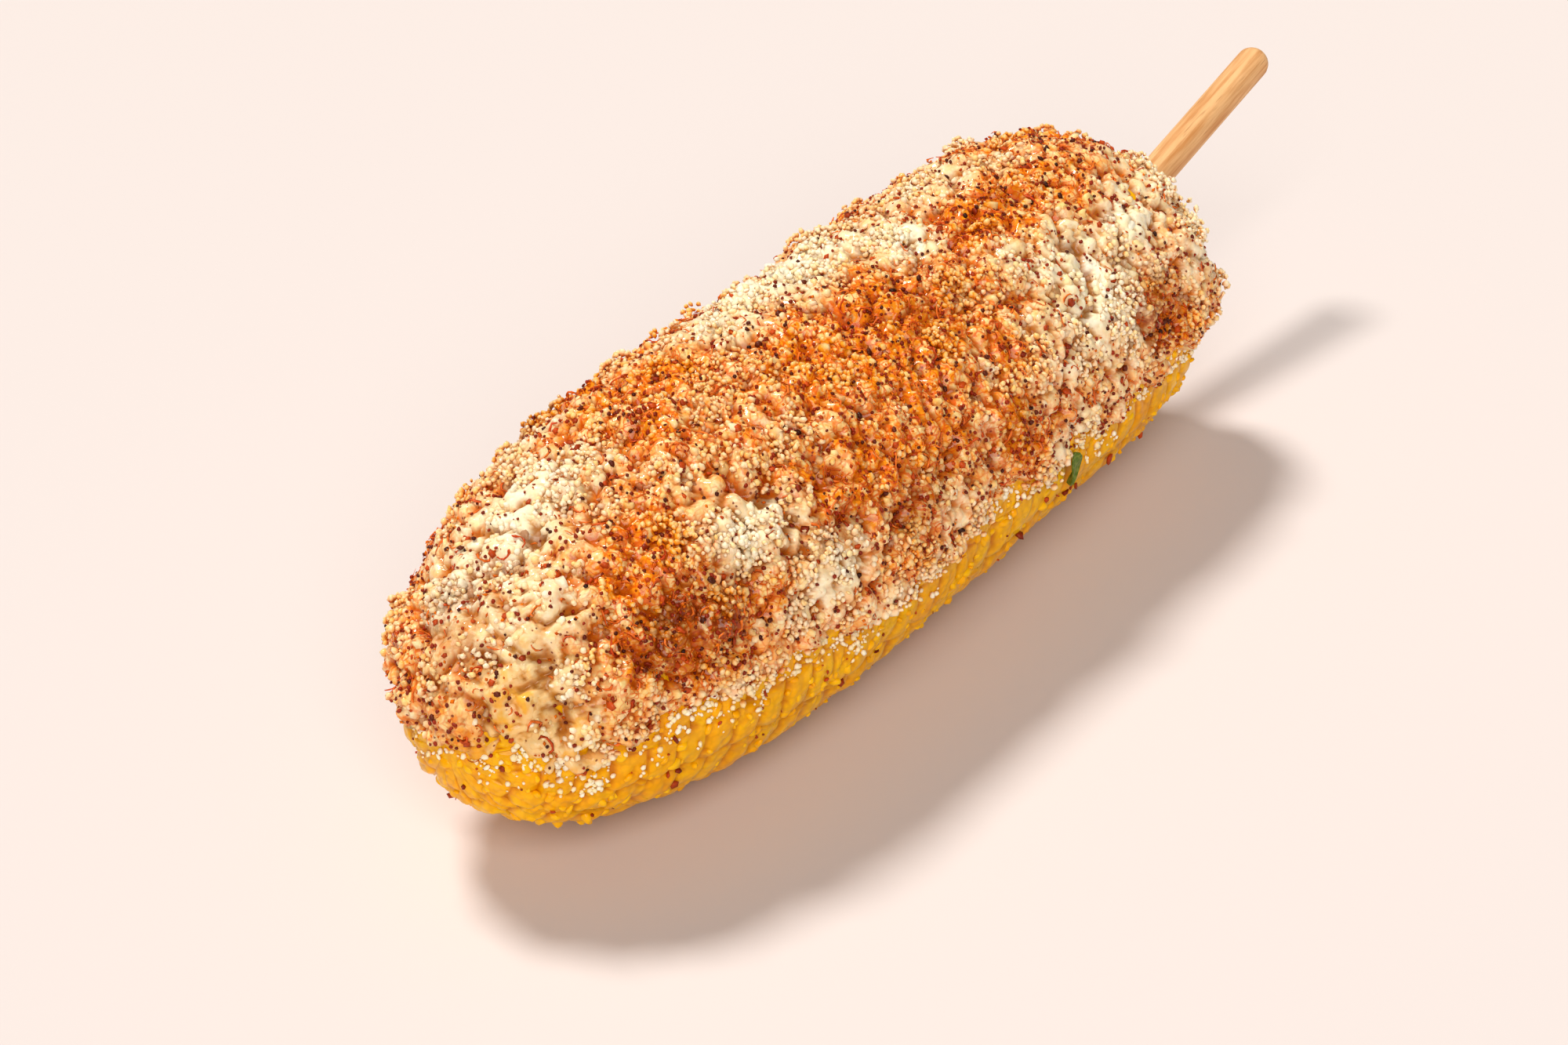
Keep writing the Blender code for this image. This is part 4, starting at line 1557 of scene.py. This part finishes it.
    def curdy(self, arc: Array, angle: Array) -> Array:
        """The chance of white curds: high where there is neither chili nor smooth sauce."""
        white = 1.0 - 0.9 * self.coat.chili.dust(arc, angle) ** 0.7
        return self.covered(arc, angle) * white * (1.0 - 0.7 * self.coat.sauce(arc, angle))

    def anywhere(self, arc: Array, angle: Array) -> Array:
        """The chance of knobs: even over the coat but for the smooth sauce."""
        return self.covered(arc, angle) * (1.0 - 0.6 * self.coat.sauce(arc, angle))

    def dusted(self, arc: Array, angle: Array) -> Array:
        """The chance of powder: little everywhere, much in the dusted patches."""
        return self.covered(arc, angle) * (0.08 + 0.92 * self.coat.chili.dust(arc, angle) ** 1.2)

    def peppered(self, arc: Array, angle: Array) -> Array:
        """The chance of small dark seeds: some everywhere, more in the dusted patches."""
        return self.covered(arc, angle) * (0.25 + 0.75 * self.coat.chili.dust(arc, angle))

    def scorched(self, arc: Array, angle: Array) -> Array:
        """The chance of dark flakes: some in the dusted patches, many in the scorched ones."""
        chili = self.coat.chili
        chance = 0.06 + 0.3 * chili.dust(arc, angle) + 0.7 * chili.scorch(arc, angle)
        return self.covered(arc, angle) * np.clip(chance, 0.0, 1.0)

    def cheese(self, effects: Effects) -> None:
        """Strews the crumbs and grains of cheese."""
        white = CrumbFinish("crumbled_cheese").build(effects)
        chunks = Sprinkle("cheese_chunks", Seed.CRUMB, 260, 1.2 * MM, 2.0 * MM, uneven=0.4, lift=-0.15)
        knobs = Sprinkle("cheese_knobs", Seed.GRAIN, 4200, 0.85 * MM, 1.45 * MM, lift=-0.16, together=6)
        knobs = replace(knobs, reach=1.5 * MM, heap=0.4 * MM)
        grains = Sprinkle("cheese_grains", Seed.GRAIN, 8600, 0.65 * MM, 1.15 * MM, lift=-0.1, together=40)
        grains = replace(grains, reach=2.8 * MM, heap=1.7 * MM)
        for kind, weight in ((chunks, self.curdy), (knobs, self.anywhere), (grains, self.curdy)):
            self.strew(kind, white, "crema_cheese", weight)

    def chili(self, effects: Effects) -> None:
        """Strews the chili: powder, threads, flakes, charred specks and seeds."""
        powder = Sprinkle("chili_powder", Seed.DOT, 5200, 0.28 * MM, 0.6 * MM, 0.7, 1.6, 1.6, 0.4)
        threads = Sprinkle("chili_threads", Seed.CURL, 1800, 0.7 * MM, 2.0 * MM, 0.8, 1.6, 1.3, 0.12)
        flakes = Sprinkle("chili_flakes", Seed.SHARD, 1300, 0.45 * MM, 1.2 * MM, 0.3, 1.4, 2.2, 0.2, 0.35)
        specks = Sprinkle("charred_specks", Seed.GRAIN, 330, 0.55 * MM, 1.15 * MM, 0.7, 1.5, 2.2, 0.3)
        seeds = Sprinkle("chili_seeds", Seed.GRAIN, 4400, 0.42 * MM, 0.72 * MM, 0.8, 1.3, 1.2, 0.45)
        orange = {"roughness": 0.6, "relief": 0.05 * MM, "wet": 0.0, "shine": 0.1}
        scarlet = {"roughness": 0.45, "relief": 0.05 * MM}
        for kind, weight, light, dark, other in (
            (powder, self.dusted, (240, 124, 18), (180, 60, 4), orange),
            (threads, self.dusted, (250, 130, 44), (206, 70, 18), scarlet),
            (flakes, self.scorched, (214, 82, 16), (132, 36, 6), {}),
            (specks, self.scorched, (104, 34, 8), (48, 14, 4), {}),
            (seeds, self.peppered, (160, 42, 4), (72, 18, 4), {}),
        ):
            finish = GrainFinish(kind.name, light=linear(*light), dark=linear(*dark), **other)
            self.strew(kind, finish.build(effects), "chili", weight, flat=True)

    def fallen(self, effects: Effects) -> None:
        """Strews what lies on the bare kernels below the coat."""
        # foot_shade: painted shade at each shred's foot.
        gold = {"pale": linear(252, 198, 12), "warm": linear(248, 164, 0), "foot_shade": linear(196, 94, 0)}
        gold = CrumbFinish("kernel_shreds", roughness=0.35, relief=0.1 * MM, wet=0.25, **gold)
        shreds = Sprinkle("kernel_shreds", Seed.CRUMB, 900, 0.9 * MM, 2.2 * MM, 0.7, 1.4)
        shreds = replace(shreds, lift=-0.22, uneven=0.14)
        self.strew_below(shreds, gold.build(effects), "kernels", 40 * MM)
        milk = CrumbFinish("fallen_cheese").build(effects)
        crumbs = Sprinkle("fallen_cheese", Seed.GRAIN, 1800, 0.35 * MM, 1.1 * MM, lift=0.3)
        crumbs = replace(crumbs, together=3, reach=1.4 * MM)
        self.strew_below(crumbs, milk, "crema_cheese", 7 * MM)
        red = GrainFinish("fallen_chili", light=linear(206, 76, 16), dark=linear(126, 36, 6)).build(effects)
        flakes = Sprinkle("fallen_chili", Seed.SHARD, 200, 0.35 * MM, 1.5 * MM, 0.3, 1.5, 2.5, 0.3)
        self.strew_below(flakes, red, "chili", 24 * MM)

    def build(self, effects: Effects) -> None:
        """Strews every kind."""
        self.cheese(effects)
        self.chili(effects)
        self.fallen(effects)


@dataclass(frozen=True)
class Leaf:
    """A scrap of herb leaf caught under the coat's edge.

    Attributes:
        form: the ear's form.
        share, angle: its place along the ear and round it, in degrees.
        length, width: its length round the ear and its width along it.
    """

    form: EarForm
    share: float = 0.672
    angle: float = 191.0
    length: float = 6.0 * MM
    width: float = 3.2 * MM

    def build(self, effects: Effects) -> None:
        """Makes the scrap: a pointed oval patch, folded along its midrib, given a thin body.

        Its half width is sin(pi t)^0.7 along its length t, its height rises with the distance from
        the midrib and waves once along it.

        Args:
            effects: the shared node groups.
        """
        t, side = np.meshgrid(np.linspace(0.02, 0.98, 22), np.linspace(-1.0, 1.0, 13), indexing="ij")
        arcs, x, _ = self.form.outline()
        arc = np.interp(self.form.tip_x + self.share * self.form.length, x, arcs)
        half = 0.5 * self.width * np.sin(math.pi * t) ** 0.7
        radius = float(self.form.radius_at(np.array(arc)))
        angle = math.radians(self.angle) + (t - 0.5) * self.length / radius
        lift = 1.1 * MM + 0.5 * MM * np.abs(side) ** 1.5 + 0.35 * MM * np.sin(5.0 * t + 2.0 * side)
        points = self.form.place(arc + side * half + 0.5 * MM * np.sin(3.0 * t), angle, lift)
        rows, columns = t.shape
        index = np.arange(rows * columns).reshape(rows, columns)
        quads = np.stack([index[:-1, :-1], index[:-1, 1:], index[1:, 1:], index[1:, :-1]], axis=-1)
        quads = quads.reshape(-1, 4)
        surface = Surface(points.reshape(-1, 3), quads.ravel(), np.full(len(quads), 4), {})
        scrap = surface.to_object("leaf_scrap")
        body = scrap.modifiers.new("body", "SOLIDIFY")
        body.thickness = 0.25 * MM
        body.offset = 0.0
        finish = LeafFinish("herb_leaf", roughness=0.5, subsurface=0.15, depth=0.6 * MM, relief=0.1 * MM)
        settle(scrap, finish.build(effects), "herb")


@dataclass(frozen=True)
class Stick:
    """The dowel, a turned rod with a domed end, along the CAD stick's own line.

    Attributes:
        radius: the dowel's radius.
        tilt: how far it points up out of the butt, in radians.
        hidden: how much of it lies in the cob.
        steps, rings: how many columns run round it and how many rings along it.
    """

    radius: float = 2.85 * MM
    tilt: float = math.radians(13.55)
    hidden: float = 12.0 * MM
    steps: int = 48
    rings: int = 150

    def build(self, effects: Effects, butt: float) -> None:
        """Makes the rod between the butt and the free end of the CAD stick's box.

        The radius is the dowel's, with fine long fibres of 0.02 mm, and the end is a quarter circle
        of profile, a little flattened. The box's highest corner gives where the domed end lies.

        Args:
            effects: the shared node groups.
            butt: x of the ear's butt.
        """
        low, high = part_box("stick")
        along = Vector((math.cos(self.tilt), 0.0, math.sin(self.tilt)))
        inside = Vector((high.x - self.radius, (low.y + high.y) / 2.0, high.z - self.radius))
        end = inside + self.radius * along
        total = (high.x - butt) / along.x + self.hidden
        s = np.linspace(0.0, total, self.rings)
        dome = self.radius * np.sin(np.linspace(0.0, math.pi / 2.0, 12))
        s = np.concatenate([s[s < total - self.radius], total - self.radius + dome])
        into = np.clip(1.0 - (total - s) / self.radius, 0.0, 1.0)
        profile = np.append(0.0, self.radius * np.sqrt(np.clip(1.0 - into**2.2, 0.0, 1.0)))
        s = np.append(0.0, s)
        angle = TURN * np.arange(self.steps) / self.steps
        fibres = 0.02 * MM * np.sin(11.0 * angle + 1.0) * np.sin(5.0 * angle)
        r = profile[:, None] + fibres * np.minimum(1.0, profile[:, None] / self.radius)
        side, up = r * np.cos(angle), r * np.sin(angle)
        length = np.broadcast_to(s[:, None], r.shape)
        across = Vector((-math.sin(self.tilt), 0.0, math.cos(self.tilt)))
        rings = (
            np.array(end - total * along)
            + length[..., None] * np.array(along)
            + side[..., None] * np.array([0.0, 1.0, 0.0])
            + up[..., None] * np.array(across)
        )
        surface = closed_tube(rings, {"along": length, "side": side, "up": up})
        finish = WoodFinish("bare_wood", roughness=0.55, subsurface=0.05, relief=0.08 * MM)
        settle(surface.to_object("stick_dowel"), finish.build(effects), "stick_wood", "stick")


# Studio


@dataclass(frozen=True)
class Studio:
    """A plain pale floor, soft daylight from the upper left and the camera.

    Attributes:
        ambient, key, fill: the strengths of the light from all round, the main light and the front.
        daylight, sky: the colours of the two lamps and of the light from all round.
        backdrop: the colour that the camera sees behind everything.
        camera_place: where the camera stands.
        forward, right: the direction it looks along and the one it holds level.
        lens, sensor: its focal length and its sensor's width, in millimetres.
        reach: the nearest and the farthest that it sees.
        floor_half: half the floor's width.
    """

    ambient: float = 0.12
    key: float = 2.7
    fill: float = 2.15
    daylight: tuple[float, float, float] = (1.0, 0.95, 0.86)
    sky: tuple[float, float, float, float] = (1.0, 0.9, 0.78, 1.0)
    backdrop: tuple[float, float, float, float] = linear(253, 240, 230)
    camera_place: tuple[float, float, float] = (-0.40374, -0.29922, 0.31865)
    forward: tuple[float, float, float] = (0.68322, 0.51824, -0.51443)
    right: tuple[float, float, float] = (0.58344, -0.81106, -0.04219)
    lens: float = 88.7
    sensor: float = 36.0
    reach: tuple[float, float] = (0.01, 20.0)
    floor_half: float = 3.0

    def _sun(self, name: str, power: float, softness: float, azimuth: float, elevation: float) -> None:
        """A soft distant light from a direction given in degrees."""
        lamp = bpy.data.lights.new(name, "SUN")
        lamp.energy, lamp.angle, lamp.color = power, math.radians(softness), self.daylight
        made = bpy.data.objects.new(name, lamp)
        a, e = math.radians(azimuth), math.radians(elevation)
        source = Vector((math.cos(a) * math.cos(e), math.sin(a) * math.cos(e), math.sin(e)))
        made.rotation_euler = source.to_track_quat("Z", "Y").to_euler()
        bpy.context.scene.collection.objects.link(made)

    def lights(self) -> None:
        """Makes the world's soft light, the key light and the fill."""
        world = bpy.data.worlds.new("studio")
        bpy.context.scene.world = world
        world.use_nodes = True
        graph = Graph(world.node_tree)
        world.node_tree.nodes.clear()
        soft = graph.add("Background", {"Color": self.sky, "Strength": self.ambient}).outputs[0]
        seen = graph.add("Background", {"Color": self.backdrop, "Strength": 1.0}).outputs[0]
        camera_ray = graph.add("LightPath").outputs["Is Camera Ray"]
        either = graph.add("MixShader", {0: camera_ray, 1: soft, 2: seen}).outputs[0]
        graph.add("OutputWorld", {"Surface": either})
        self._sun("key", self.key, softness=14.0, azimuth=86.0, elevation=64.0)
        self._sun("fill", self.fill, softness=40.0, azimuth=218.0, elevation=36.0)

    def floor(self, effects: Effects) -> None:
        """Makes the floor under the ear."""
        corners = self.floor_half * np.array([[-1, -1, 0], [1, -1, 0], [1, 1, 0], [-1, 1, 0]])
        plane = Surface(corners, np.arange(4), np.array([4]), {}).to_object("floor")
        plane.data.materials.append(FloorFinish("pale_floor", roughness=0.9, shine=0.1).build(effects))

    def camera(self) -> None:
        """Makes the camera from its place and the directions it looks along and holds level."""
        lens = bpy.data.cameras.new("camera")
        lens.lens = self.lens
        lens.sensor_width = self.sensor
        lens.clip_start, lens.clip_end = self.reach
        made = bpy.data.objects.new("camera", lens)
        forward, right = Vector(self.forward).normalized(), Vector(self.right).normalized()
        up = right.cross(forward)
        turned = Matrix((right, up, -forward)).transposed().to_4x4()
        made.matrix_world = Matrix.Translation(self.camera_place) @ turned
        bpy.context.scene.collection.objects.link(made)
        bpy.context.scene.camera = made

    def build(self, effects: Effects) -> None:
        """Makes all of it. Colours are shown as they are, with no film curve."""
        self.camera()
        self.floor(effects)
        self.lights()
        bpy.context.scene.view_settings.view_transform = "Standard"


def main() -> None:
    """Builds the studio and every piece."""
    logging.basicConfig(level=logging.INFO, format="%(name)s: %(message)s")
    effects = Effects()
    Studio().build(effects)
    form = EarForm.from_frame()
    rows = Rows(form)
    ear = Ear(form, rows)
    coat = Coat(form, rows, ChiliCloud(form))
    ear.build(effects)
    coat.build(effects)
    Toppings(coat, ear).build(effects)
    Leaf(form).build(effects)
    Stick().build(effects, form.tip_x + form.length)


if __name__ == "__main__":
    main()
